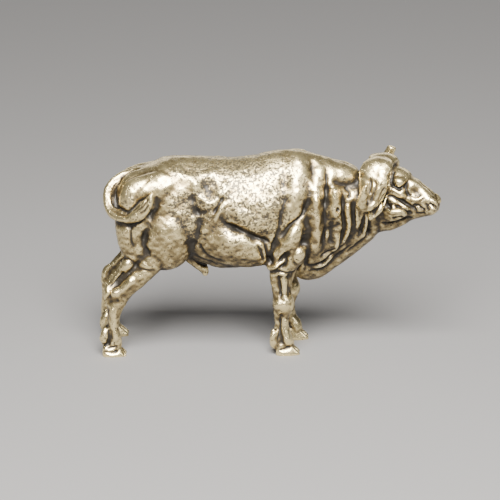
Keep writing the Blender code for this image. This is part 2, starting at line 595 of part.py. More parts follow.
def press_stroke(flat, width, depth, lip, path):
    """How far the stroke moves each point of the side view, outwards."""
    path = smooth_path(path, 5)
    near = ((flat > path.min(0) - 6 * width) & (flat < path.max(0) + 6 * width)).all(1)
    moved = np.zeros(len(flat))
    if not near.any():
        return moved
    starts, runs = path[:-1], np.diff(path, axis=0)
    lengths = np.hypot(*runs.T)
    offset = flat[near][:, None] - starts
    share = np.clip((offset * runs).sum(2) / lengths**2, 0, 1)
    apart = offset - share[..., None] * runs
    distance = np.hypot(apart[..., 0], apart[..., 1])
    best = distance.argmin(1)
    row = np.arange(len(best))
    distance, share = distance[row, best], share[row, best]
    gone = np.concatenate([[0], np.cumsum(lengths)])[best] + share * lengths[best]
    fade = faded(np.minimum(gone, lengths.sum() - gone) / (0.25 * lengths.sum()) + 0.1)
    left = np.sign(runs[best, 0] * apart[row, best, 1] - runs[best, 1] * apart[row, best, 0])
    # No stroke is finer than the grain can hold.
    apart = distance / max(width, 1.2 * CLAY_GRAIN)
    # A groove is a crease between two swelling sides, and a ridge is round.
    groove = np.exp(0.35 - np.sqrt(apart**2 + 0.1225)) if depth > 0 else np.exp(-(apart**2))
    raised = np.where(left * np.sign(lip) > 0, np.exp(-((apart - 1.8) ** 2)), 0)
    fade *= np.exp(-((apart / 5) ** 4))
    moved[near] = fade * (abs(lip) * raised - depth * groove)
    return moved


def press_pad(flat, ahead, up, long, high, pitch, rise):
    """How far the pad moves each point of the side view, outwards."""
    turn = math.radians(pitch)
    offset = flat - (ahead, up)
    along = (offset[:, 0] * math.cos(turn) + offset[:, 1] * math.sin(turn)) / long
    across = (offset[:, 1] * math.cos(turn) - offset[:, 0] * math.sin(turn)) / high
    return rise * np.clip(1 - (along**2 + across**2) / 2.2, 0, 1) ** 2


def leg_frame(points):
    """Points as if both legs of a pair stood level with the right one."""
    level = points.copy()
    left, up = faded(points[:, 1] / 2), points[:, 2]
    fore = 1.9 * faded((26 - up) / 5) + 0.9 * faded((8 - up) / 3)
    hind = -1.0 * faded((25 - up) / 6) - 1.0 * faded((16 - up) / 6)
    level[:, 0] -= left * np.where(points[:, 0] > 40, fore, hind)
    return level


def head_frame(points):
    """Points as the head has them: ahead of its upright line, sideways and up."""
    ahead, sideways = points[:, 0] - HEAD_PLACE, points[:, 1]
    return np.column_stack(
        (
            ahead * math.cos(HEAD_TURN) - sideways * math.sin(HEAD_TURN),
            ahead * math.sin(HEAD_TURN) + sideways * math.cos(HEAD_TURN),
            points[:, 2],
        )
    )


def carving(points, normals, pads, strokes, frame=None):
    """How far the pads and strokes move each point along its normal."""
    seen, facing = points, normals
    if frame:
        seen, facing = frame(points), frame(points + normals) - frame(points)
    flat, sideways, outward = seen[:, [0, 2]], seen[:, 1], facing[:, 1]
    right, left = (on_side(sideways, outward, side) for side in (-1, 1))
    moved = np.zeros(len(points))
    for press, rows in ((press_pad, pads), (press_stroke, strokes)):
        for sides, *shape in rows:
            moved += press(flat, *shape) * (right + left if sides == BOTH else right)
    return moved


def worked(points, normals):
    """How far all the modelling moves each point along its normal."""
    in_head = head_frame(points)
    ahead, aside = in_head[:, 0], abs(in_head[:, 1])
    on_head = faded((ahead - 1.5) / 2)
    on_horn = faded((ahead + 5) / 1) * faded((aside - 7) / 1)
    off_tail = faded((distance_to(points, smooth_path(TAIL, 5)[:, :3]) - 1.3) / 1.2)
    on_body = (1 - on_head) * (1 - on_horn) * off_tail
    return (
        on_body * carving(points, normals, BODY_PADS, BODY_STROKES + NECK_STROKES)
        + carving(points, normals, LEG_PADS, LEG_STROKES, leg_frame)
        + off_tail * carving(points, normals, (), TAIL_STROKES)
        + on_head * (1 - on_horn) * carving(points, normals, HEAD_PADS, HEAD_STROKES, head_frame)
    )


def figure_skin(grain):
    """The whole figure as one smooth skin, with its folds worked in."""
    rounds = 1 / grain**2
    clay = bmesh.new()
    add_trunk(clay)
    skin = fused(clay, grain)
    set_points(skin, relaxed(points_of(skin), edges_of(skin), round(7 * rounds)))

    clay = bmesh.new()
    clay.from_mesh(skin)
    add_tail(clay)
    add_head(clay)
    add_fore_leg(clay, -1, 0.0, 0.0, 1.8)
    add_fore_leg(clay, 1, 1.9, 2.8, -2.3)
    add_hind_leg(clay, -1, 0.0, 0.0)
    add_hind_leg(clay, 1, 2.3, -2.3)
    skin = fused(clay, grain)
    edges = edges_of(skin)
    points = relaxed(points_of(skin), edges, round(rounds))
    set_points(skin, points)

    normals = normals_of(skin)
    points += normals * worked(points, normals)[:, None]
    set_points(skin, relaxed(points, edges, 1))
    return skin


def cut_soles(skin):
    """The skin cut off flat where the hooves stand, and closed there."""
    cutting = bmesh.new()
    cutting.from_mesh(skin)
    parts = cutting.verts[:] + cutting.edges[:] + cutting.faces[:]
    bmesh.ops.bisect_plane(
        cutting, geom=parts, plane_co=(0, 0, 0), plane_no=(0, 0, 1), dist=CLAY_GRAIN / 30, clear_inner=True
    )
    rims = [edge for edge in cutting.edges if edge.is_boundary]
    bmesh.ops.holes_fill(cutting, edges=rims, sides=0)
    bmesh.ops.triangulate(cutting, faces=cutting.faces[:])
    cutting.to_mesh(skin)
    cutting.free()


def thinned(skin, triangles):
    """The skin with about this many triangles, by a Decimate that keeps its form."""
    lump = mesh_object("fine", skin)
    thin = lump.modifiers.new("thin", "DECIMATE")
    thin.ratio = triangles / len(skin.polygons)
    graph = bpy.context.evaluated_depsgraph_get()
    mesh = bpy.data.meshes.new_from_object(lump.evaluated_get(graph))
    bpy.data.objects.remove(lump)
    points = points_of(mesh)
    points[abs(points[:, 2]) < CLAY_GRAIN / 10, 2] = 0
    set_points(mesh, points)
    return mesh


def brass():
    material = bpy.data.materials.new("brass")
    material.use_nodes = True
    shader = material.node_tree.nodes["Principled BSDF"]
    shader.inputs["Base Color"].default_value = (0.60, 0.46, 0.22, 1)
    shader.inputs["Metallic"].default_value = 1.0
    shader.inputs["Roughness"].default_value = 0.35
    return material


def main():
    for thing in list(bpy.data.objects):
        bpy.data.objects.remove(thing)
    skin = figure_skin(CLAY_GRAIN)
    cut_soles(skin)
    skin = thinned(skin, TRIANGLES)
    points = points_of(skin)
    middle = (points.min(0) + points.max(0)) / 2
    middle[2] = points[:, 2].min()
    set_points(skin, (points - middle) * UNIT)
    skin.name = "bull_figure"
    skin.shade_smooth()
    skin.materials.append(brass())
    mesh_object("bull_figure", skin)


main()
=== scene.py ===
"""The looks of a small cast brass figurine of a standing buffalo bull.

The figure is modelled again as the solid is, at a finer grain: rough masses are fused into
one skin, the skin is smoothed, and muscles, folds and features are worked in along short
strokes. Its antique finish follows the hollows of the finished skin, and it paints shade
where the skin sees little of its surroundings or faces down, and light where it is open.
"""

import json
import math

import bmesh
import bpy
import numpy as np
from mathutils import Matrix, Vector
from mathutils.bvhtree import BVHTree
from mathutils.kdtree import KDTree

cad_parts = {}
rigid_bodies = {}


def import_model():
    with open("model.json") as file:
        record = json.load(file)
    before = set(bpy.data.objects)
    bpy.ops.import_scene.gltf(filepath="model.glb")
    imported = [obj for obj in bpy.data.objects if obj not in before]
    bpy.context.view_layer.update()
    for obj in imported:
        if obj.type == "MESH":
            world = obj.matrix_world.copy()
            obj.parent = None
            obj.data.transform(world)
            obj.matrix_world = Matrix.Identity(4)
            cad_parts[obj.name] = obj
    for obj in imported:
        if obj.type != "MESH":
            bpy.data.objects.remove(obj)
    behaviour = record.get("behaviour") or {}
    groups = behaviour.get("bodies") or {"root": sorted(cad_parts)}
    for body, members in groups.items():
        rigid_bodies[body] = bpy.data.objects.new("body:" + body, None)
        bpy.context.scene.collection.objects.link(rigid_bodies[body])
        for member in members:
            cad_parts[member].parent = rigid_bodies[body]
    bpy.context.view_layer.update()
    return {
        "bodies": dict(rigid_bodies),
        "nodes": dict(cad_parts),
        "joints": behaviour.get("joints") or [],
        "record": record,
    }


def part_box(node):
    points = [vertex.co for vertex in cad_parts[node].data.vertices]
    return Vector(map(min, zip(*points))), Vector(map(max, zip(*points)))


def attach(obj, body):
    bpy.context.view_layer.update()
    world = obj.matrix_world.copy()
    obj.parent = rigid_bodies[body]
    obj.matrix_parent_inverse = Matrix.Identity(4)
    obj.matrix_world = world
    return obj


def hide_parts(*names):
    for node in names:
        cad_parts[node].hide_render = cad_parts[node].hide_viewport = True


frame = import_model()

# Every place and size of the modelling is in hundredths of the figure's length.
HOOF_LENGTH = 7.1
TOE_OFFSET = 1.42
TOE_HALF_WIDTH = 1.45

# The figure is fused at this grain and then thinned to this many triangles.
CLAY_GRAIN = 0.34
TRIANGLES = 190000

# The body sections from the rump to the neck: place along the body, top, underside,
# half width, height of the widest point, and how full the upper and lower halves are.
BODY = (
    (5.0, 45.6, 37.0, 2.6, 42.0, 2.0, 2.0),
    (6.2, 49.6, 33.5, 6.8, 42.0, 2.0, 2.0),
    (8.5, 52.4, 30.5, 9.3, 42.0, 2.0, 2.0),
    (12.0, 53.8, 29.4, 10.6, 42.5, 2.15, 2.0),
    (17.0, 55.6, 29.0, 11.4, 42.5, 2.2, 2.0),
    (22.0, 57.2, 28.0, 11.9, 41.5, 2.15, 2.0),
    (28.0, 57.3, 26.5, 12.2, 40.0, 2.1, 2.1),
    (34.0, 57.1, 24.3, 12.7, 38.5, 2.1, 2.2),
    (40.0, 56.9, 24.1, 13.2, 37.5, 2.08, 2.2),
    (46.0, 57.6, 24.8, 13.2, 38.0, 2.0, 2.2),
    (51.0, 58.8, 24.8, 12.6, 39.5, 2.0, 2.1),
    (56.0, 59.2, 22.0, 11.5, 41.0, 1.9, 1.9),
    (61.0, 58.6, 19.6, 10.6, 42.5, 1.9, 1.6),
    (66.0, 57.4, 20.6, 9.6, 43.5, 1.9, 1.45),
    (71.0, 55.5, 24.2, 8.6, 44.0, 1.9, 1.45),
    (76.0, 53.3, 28.1, 7.5, 44.5, 1.9, 1.6),
    (80.0, 52.1, 31.6, 6.5, 44.5, 2.0, 1.8),
    (84.0, 50.0, 36.4, 4.4, 44.5, 2.0, 2.0),
)

# The head turns about this upright line, towards the bull's right.
HEAD_PLACE = 82.0
HEAD_TURN = math.radians(16)

# The head sections from the nape to the muzzle, ahead of that line, as in BODY.
HEAD = (
    (-3.0, 50.0, 37.2, 4.2, 44.5, 2.0, 2.0),
    (0.0, 53.0, 34.6, 5.2, 45.0, 2.1, 2.0),
    (3.0, 54.2, 34.9, 5.5, 46.0, 2.2, 2.0),
    (6.0, 54.6, 36.1, 5.3, 47.0, 2.2, 2.0),
    (8.5, 53.5, 37.4, 4.8, 47.0, 2.2, 2.0),
    (10.5, 51.5, 38.8, 4.1, 46.2, 2.2, 2.0),
    (13.0, 49.5, 39.9, 3.7, 45.3, 2.2, 2.1),
    (15.3, 47.7, 40.6, 3.6, 44.6, 2.3, 2.2),
    (17.1, 45.9, 41.3, 3.5, 43.9, 2.4, 2.3),
    (18.1, 44.7, 42.3, 2.6, 43.6, 2.3, 2.3),
)


def smooth_path(rows, steps):
    """A smooth curve through the rows, with this many steps between each two."""
    rows = np.array(rows, float)
    before = np.vstack([2 * rows[0] - rows[1], rows, 2 * rows[-1] - rows[-2]])
    path = []
    for start in range(len(rows) - 1):
        a, b, c, d = before[start : start + 4]
        for t in np.arange(steps) / steps:
            path.append(
                0.5
                * (
                    2 * b
                    + (c - a) * t
                    + (2 * a - 5 * b + 4 * c - d) * t**2
                    + (3 * b - a - 3 * c + d) * t**3
                )
            )
    path.append(rows[-1])
    return np.array(path)


def skin_rings(clay, rings):
    """One closed shell through rings of equally many points."""
    loops = [[clay.verts.new(point) for point in ring] for ring in rings]
    faces = []
    for low, high in zip(loops, loops[1:]):
        for side in range(len(low)):
            after = (side + 1) % len(low)
            faces.append(clay.faces.new((low[side], low[after], high[after], high[side])))
    faces.append(clay.faces.new(loops[0][::-1]))
    faces.append(clay.faces.new(loops[-1]))
    bmesh.ops.recalc_face_normals(clay, faces=faces)


def section_ring(top, underside, half_width, widest, upper, lower, sides=40):
    """A body section as (sideways, height) points, like an egg with set fullness."""
    ring = []
    for angle in np.arange(sides) * 2 * math.pi / sides:
        fullness = upper if math.sin(angle) > 0 else lower
        height = top - widest if math.sin(angle) > 0 else widest - underside
        sideways = math.copysign(abs(math.cos(angle)) ** (2 / fullness), math.cos(angle))
        upwards = math.copysign(abs(math.sin(angle)) ** (2 / fullness), math.sin(angle))
        ring.append((half_width * sideways, widest + height * upwards))
    return ring


def add_sections(clay, sections, place):
    """A shell through body sections. place turns (ahead, sideways, height) into a point."""
    rings = []
    for ahead, *shape in smooth_path(sections, 4):
        rings.append([place(ahead, sideways, up) for sideways, up in section_ring(*shape)])
    skin_rings(clay, rings)


def add_limb(clay, stations, flat_to=(0, 1, 0), place=None, sides=24, steps=5):
    """A tapering limb. Each station is a point, the radius across the limb in its own
    plane, and the radius towards flat_to."""
    path = smooth_path(stations, steps)
    centres = [Vector(row[:3]) for row in path]
    rings = []
    for i, row in enumerate(path):
        along = centres[min(i + 1, len(path) - 1)] - centres[max(i - 1, 0)]
        across = along.cross(Vector(flat_to)).normalized()
        sideways = across.cross(along).normalized()
        wide, thick = max(row[3], 0.05), max(row[4], 0.05)
        ring = []
        for angle in np.arange(sides) * 2 * math.pi / sides:
            offset = across * math.cos(angle) * wide + sideways * math.sin(angle) * thick
            point = centres[i] + offset
            ring.append(place(*point) if place else point)
        rings.append(ring)
    skin_rings(clay, rings)


def add_mass(clay, centre, radii, pitch=0.0, yaw=0.0, place=None):
    """A rounded mass. Its radii are along, sideways and upwards, before it is pitched
    nose up and turned, in degrees."""
    turn = Matrix.Rotation(math.radians(yaw), 3, "Z") @ Matrix.Rotation(math.radians(-pitch), 3, "Y")
    ball = bmesh.ops.create_icosphere(clay, subdivisions=4, radius=1.0)
    for vert in ball["verts"]:
        shaped = Vector(c * r for c, r in zip(vert.co, radii))
        point = Vector(centre) + turn @ shaped
        vert.co = place(*point) if place else point


def body_place(ahead, sideways, up):
    return Vector((ahead, sideways, up))


def head_place(ahead, sideways, up):
    """A point of the head, which is turned about HEAD_PLACE."""
    return Vector(
        (
            HEAD_PLACE + ahead * math.cos(HEAD_TURN) + sideways * math.sin(HEAD_TURN),
            sideways * math.cos(HEAD_TURN) - ahead * math.sin(HEAD_TURN),
            up,
        )
    )


def add_trunk(clay):
    """The trunk, with the muscles that show through the skin on both sides."""
    add_sections(clay, BODY, body_place)
    for side in (-1, 1):
        # The rump, the great muscle of the thigh and the one behind it.
        add_mass(clay, (17.0, 6.3 * side, 47.8), (10.0, 4.8, 6.4), pitch=12)
        add_mass(clay, (20.2, 8.0 * side, 35.6), (8.6, 5.2, 10.6), pitch=-8)
        add_mass(clay, (12.2, 7.5 * side, 38.2), (6.8, 4.6, 13.0), pitch=3)
        # The belly, below its crease.
        add_mass(clay, (41.0, 7.6 * side, 32.6), (13.0, 5.2, 6.4), pitch=-8)
        # The upper arm and the elbow.
        add_mass(clay, (56.0, 9.3 * side, 34.6), (7.6, 3.3, 4.2), pitch=52)
        add_mass(clay, (58.5, 8.6 * side, 31.2), (2.8, 3.3, 4.7), pitch=-10)
        add_mass(clay, (52.4, 9.1 * side, 27.9), (3.5, 2.2, 2.1), pitch=38)
    # The sheath under the belly.
    add_limb(
        clay,
        (
            (23.0, 0, 29.2, 1.4, 1.6),
            (27.0, 0, 26.8, 1.8, 1.7),
            (29.8, 0, 24.4, 1.8, 1.6),
            (31.2, 0, 22.6, 1.2, 1.2),
            (31.5, 0, 21.0, 0.7, 0.8),
        ),
    )


def add_foot(clay, ahead, sideways, claw, claw_height):
    """A cloven hoof: two toes that widen down to a flat sole, and two dewclaws behind."""
    for toe in (-1, 1):
        rings = []
        for height, size, back in (
            (-1.0, 0.88, 0.1),
            (0.0, 1.0, 0.0),
            (0.5, 1.01, 0.0),
            (1.8, 0.82, 0.7),
            (3.5, 0.52, 1.5),
        ):
            ring = []
            for angle in np.arange(24) * 2 * math.pi / 24:
                along = math.cos(angle)
                # The toe is blunt behind and narrower ahead.
                width = math.copysign(abs(math.sin(angle)) ** 0.8, math.sin(angle)) * (1 - 0.28 * along)
                ring.append(
                    (
                        ahead - back + along * size * HOOF_LENGTH / 2,
                        sideways + toe * TOE_OFFSET + width * size * TOE_HALF_WIDTH,
                        height,
                    )
                )
            rings.append(ring)
        skin_rings(clay, rings)
        add_mass(clay, (claw, sideways + toe * 1.3, claw_height), (1.8, 1.1, 2.9), pitch=-14)


def add_fore_leg(clay, side, knee, hoof, spread):
    """A fore leg from the elbow down. knee and hoof carry those two ahead, and spread
    carries the hoof outwards."""
    add_limb(
        clay,
        (
            (57.0, 8.6 * side, 32.0, 4.4, 3.2),
            (54.6 + 0.3 * knee, 8.7 * side, 27.0, 4.0, 2.9),
            (53.8 + 0.8 * knee, (8.3 + 0.2 * spread) * side, 22.5, 3.5, 2.7),
            (54.0 + knee, (8.0 + 0.4 * spread) * side, 18.0, 2.8, 2.4),
            (54.3 + knee, (7.8 + 0.5 * spread) * side, 14.8, 3.2, 2.9),
            (53.9 + knee, (7.6 + 0.7 * spread) * side, 12.0, 2.5, 2.2),
            (53.8 + knee, (7.5 + 0.8 * spread) * side, 9.0, 2.0, 1.8),
            (54.3 + 0.6 * knee + 0.3 * hoof, (7.5 + 0.9 * spread) * side, 6.2, 2.1, 2.1),
            (55.3 + 0.9 * hoof, (7.5 + spread) * side, 3.9, 2.1, 2.2),
            (55.4 + hoof, (7.5 + spread) * side, 2.0, 2.2, 2.3),
        ),
    )
    add_foot(clay, 55.7 + hoof, (7.5 + spread) * side, 52.2 + 0.8 * hoof, 4.6)


def add_hind_leg(clay, side, back, spread):
    """A hind leg from the stifle down. back carries the hock and cannon to the rear, and
    spread carries the hoof outwards."""
    add_limb(
        clay,
        (
            (19.6, 8.8 * side, 34.0, 4.4, 3.2),
            (16.4, 9.2 * side, 28.6, 3.7, 3.0),
            (12.3 - 0.3 * back, (9.6 + 0.1 * spread) * side, 23.8, 3.0, 2.6),
            (8.0 - 0.6 * back, (9.9 + 0.2 * spread) * side, 19.8, 2.9, 2.3),
            (5.4 - 0.9 * back, (10.0 + 0.4 * spread) * side, 15.6, 2.7, 2.1),
            (4.6 - back, (10.2 + 0.6 * spread) * side, 11.6, 2.0, 1.8),
            (4.3 - back, (10.4 + 0.7 * spread) * side, 8.2, 1.9, 1.8),
            (4.4 - 0.8 * back, (10.5 + 0.9 * spread) * side, 5.6, 2.4, 2.2),
            (4.7 - 0.4 * back, (10.6 + spread) * side, 2.2, 2.4, 2.4),
        ),
    )
    # The tendon down to the point of the hock.
    add_limb(
        clay,
        (
            (11.4, 8.8 * side, 31.0, 2.8, 2.4),
            (8.5, 9.3 * side, 26.2, 1.9, 1.7),
            (4.9 - 0.2 * back, (9.7 + 0.1 * spread) * side, 21.9, 1.25, 1.3),
            (2.9 - 0.5 * back, (9.9 + 0.2 * spread) * side, 19.4, 1.2, 1.4),
            (3.4 - 0.9 * back, (10.0 + 0.4 * spread) * side, 16.0, 1.1, 1.3),
        ),
    )
    add_foot(clay, 4.9, (10.6 + spread) * side, 2.5 - 0.4 * back, 6.0 - 0.7 * back)


# The tail, which swings round over the right thigh and ends in a leaf-shaped tuft.
TAIL = (
    (12.5, 0.0, 52.9, 1.3, 1.5),
    (8.4, -0.5, 52.3, 1.2, 1.4),
    (5.3, -1.7, 50.9, 1.1, 1.2),
    (3.2, -3.1, 48.4, 1.05, 1.15),
    (2.8, -4.6, 45.2, 1.05, 1.15),
    (3.8, -6.9, 42.8, 1.05, 1.2),
    (6.0, -9.4, 41.6, 1.1, 1.25),
    (8.9, -11.4, 41.6, 1.2, 1.3),
    (11.2, -12.8, 42.7, 1.75, 1.2),
    (13.3, -13.7, 44.8, 2.15, 1.1),
    (15.1, -13.9, 47.3, 1.55, 0.95),
    (16.4, -13.6, 50.0, 0.3, 0.4),
)


def add_tail(clay):
    add_limb(clay, TAIL, flat_to=(0.35, 1, 0))
    # The thin web that the casting leaves in the hollow behind the tail.
    web = (
        (9.0, -0.4, 51.2, 0.9, 2.2),
        (5.8, -1.8, 49.0, 0.9, 2.4),
        (4.8, -3.2, 46.0, 0.9, 2.4),
        (6.0, -5.6, 43.6, 0.9, 2.4),
        (8.6, -8.0, 43.0, 0.9, 2.4),
    )
    add_limb(clay, web, flat_to=(0.6, 1, 0))


def add_head(clay):
    """The head with its brows, cheeks, muzzle, ears and horns."""
    add_sections(clay, HEAD, head_place)
    for side in (-1, 1):
        add_mass(clay, (7.2, 4.0 * side, 50.5 - 0.4 * side), (2.1, 1.6, 1.7), pitch=-25, place=head_place)
        add_mass(clay, (6.0, 3.7 * side, 42.6), (4.3, 2.2, 3.4), pitch=15, place=head_place)
        add_mass(clay, (16.9, 2.3 * side, 44.8), (1.7, 1.5, 1.6), pitch=-30, place=head_place)
        # The ear hangs behind and below the horn.
        add_limb(
            clay,
            (
                (4.0, 4.4 * side, 48.4, 0.9, 0.8),
                (3.0, 6.2 * side, 46.6, 1.5, 0.7),
                (1.6, 7.8 * side, 44.2, 1.9, 0.6),
                (0.4, 8.5 * side, 42.0, 1.4, 0.5),
                (-0.4, 8.8 * side, 40.4, 0.3, 0.3),
            ),
            flat_to=(0.2, 1, 0.3),
            place=head_place,
        )
    for side, lift in ((-1, 0.0), (1, 4.0)):
        add_horn(clay, side, lift)


def add_horn(clay, side, lift):
    """A horn, broad at the boss, sweeping down beside the head and up to its tip."""
    add_limb(
        clay,
        (
            (1.3, -0.8 * side, 54.9, 1.9, 3.2),
            (1.0, 1.4 * side, 55.7, 2.0, 3.9),
            (0.7, 4.0 * side, 55.4, 2.0, 4.5),
            (0.5, 6.4 * side, 52.8, 1.9, 4.7),
            (0.2, 8.0 * side, 49.0, 1.7, 4.1),
            (-0.7, 9.2 * side, 45.9, 1.5, 3.0),
            (-1.9, 10.4 * side, 44.7, 1.3, 2.0),
            (-1.9, 11.7 * side, 46.4, 1.2, 1.5),
            (-1.0, 12.3 * side, 49.8 + 0.5 * lift, 1.1 + 0.12 * lift, 1.15 + 0.15 * lift),
            (0.4 + 0.2 * lift, 12.2 * side, 53.0 + 1.05 * lift, 0.5 + 0.15 * lift, 0.5 + 0.2 * lift),
        ),
        flat_to=(-1, 0, 0),
        place=head_place,
    )


def mesh_object(name, mesh):
    thing = bpy.data.objects.new(name, mesh)
    bpy.context.scene.collection.objects.link(thing)
    return thing


def fused(clay, grain):
    """The clay's shells as one skin, by a voxel Remesh, as an evaluated mesh."""
    mesh = bpy.data.meshes.new("clay")
    clay.to_mesh(mesh)
    clay.free()
    lump = mesh_object("clay", mesh)
    remesh = lump.modifiers.new("fuse", "REMESH")
    remesh.mode = "VOXEL"
    remesh.voxel_size = grain
    graph = bpy.context.evaluated_depsgraph_get()
    skin = bpy.data.meshes.new_from_object(lump.evaluated_get(graph))
    bpy.data.objects.remove(lump)
    return skin


def points_of(mesh):
    points = np.empty(len(mesh.vertices) * 3, np.float32)
    mesh.vertices.foreach_get("co", points)
    return points.reshape(-1, 3).astype(float)


def edges_of(mesh):
    ends = np.empty(len(mesh.edges) * 2, np.int32)
    mesh.edges.foreach_get("vertices", ends)
    return ends.reshape(-1, 2)


def normals_of(mesh):
    normals = np.empty(len(mesh.vertices) * 3, np.float32)
    mesh.vertex_normals.foreach_get("vector", normals)
    return normals.reshape(-1, 3).astype(float)


def set_points(mesh, points):
    mesh.vertices.foreach_set("co", points.astype(np.float32).ravel())
    mesh.update()


def relaxed(points, edges, rounds, amount=1.0):
    """The points after rounds of smoothing that keep the volume. amount scales it by point."""
    count = np.bincount(edges.ravel(), minlength=len(points))[:, None]
    for _ in range(rounds):
        for step in (0.5, -0.52):
            total = np.zeros_like(points)
            for axis in range(3):
                total[:, axis] = np.bincount(
                    edges[:, 0], points[edges[:, 1], axis], len(points)
                ) + np.bincount(edges[:, 1], points[edges[:, 0], axis], len(points))
            points = points + step * amount * (total / count - points)
    return points


# Carving. A stroke is (sides, width, depth, lip, path), in the side view: ahead and up.
# It presses a groove that fades at both ends, or raises a ridge where depth is negative.
# lip raises the skin on the left of the path, or on its right where it is negative.
# A pad is (sides, ahead, up, half length, half height, pitch, rise): a swelling or a dent.

BOTH, RIGHT = (-1, 1), (-1,)

# How far the modelling hand wanders off a stroke's path.
WAVER = 0.12

BODY_PADS = (
    # The hollow of the flank behind the hip bone, and the dent in the loin.
    (BOTH, 31.9, 50.0, 2.6, 3.4, 0, -0.7),
    (BOTH, 31.6, 51.7, 1.5, 1.2, 10, -0.4),
    (BOTH, 26.3, 55.6, 5.9, 1.5, 0, -0.15),
    # The swell of the thigh, the rump, the ribs and the belly.
    (BOTH, 22.8, 37.6, 4.1, 4.9, -10, 0.5),
    (BOTH, 25.1, 46.6, 3.5, 2.8, 0, -0.3),
    (BOTH, 8.1, 35.4, 2.4, 5.2, 5, 0.4),
    (BOTH, 9.6, 50.1, 4.4, 4.3, 42, 1.1),
    (BOTH, 44.6, 46.5, 11.2, 8.0, -18, 0.4),
    (BOTH, 45.7, 40.8, 7.6, 2.5, -24, 0.5),
    (BOTH, 8.4, 27.8, 2.1, 1.5, -30, 0.3),
    (BOTH, 41.6, 33.7, 9.7, 3.7, -14, 1.3),
    (BOTH, 34.0, 38.0, 3.5, 4.9, -30, -0.4),
    # The shoulder, the upper arm, the ball of the elbow and the pocket behind it.
    (BOTH, 57.8, 48.7, 11.2, 3.1, 84, 1.3),
    (BOTH, 56.3, 36.0, 4.1, 2.5, 55, 0.9),
    (BOTH, 58.7, 31.5, 2.1, 2.2, 0, 1.1),
    (BOTH, 57.2, 29.5, 2.9, 2.5, 0, 0.6),
    (BOTH, 54.3, 29.8, 2.4, 1.0, 55, -1.5),
    (BOTH, 51.0, 32.6, 1.5, 2.5, 0, 0.8),
    # The neck: the swelling behind the horn, the hollow under it and a small pit.
    (BOTH, 73.1, 54.2, 4.4, 2.5, -12, 0.7),
    (BOTH, 74.0, 50.2, 3.8, 1.5, 0, -0.6),
    (BOTH, 70.1, 43.7, 0.6, 0.8, 0, -1.0),
)

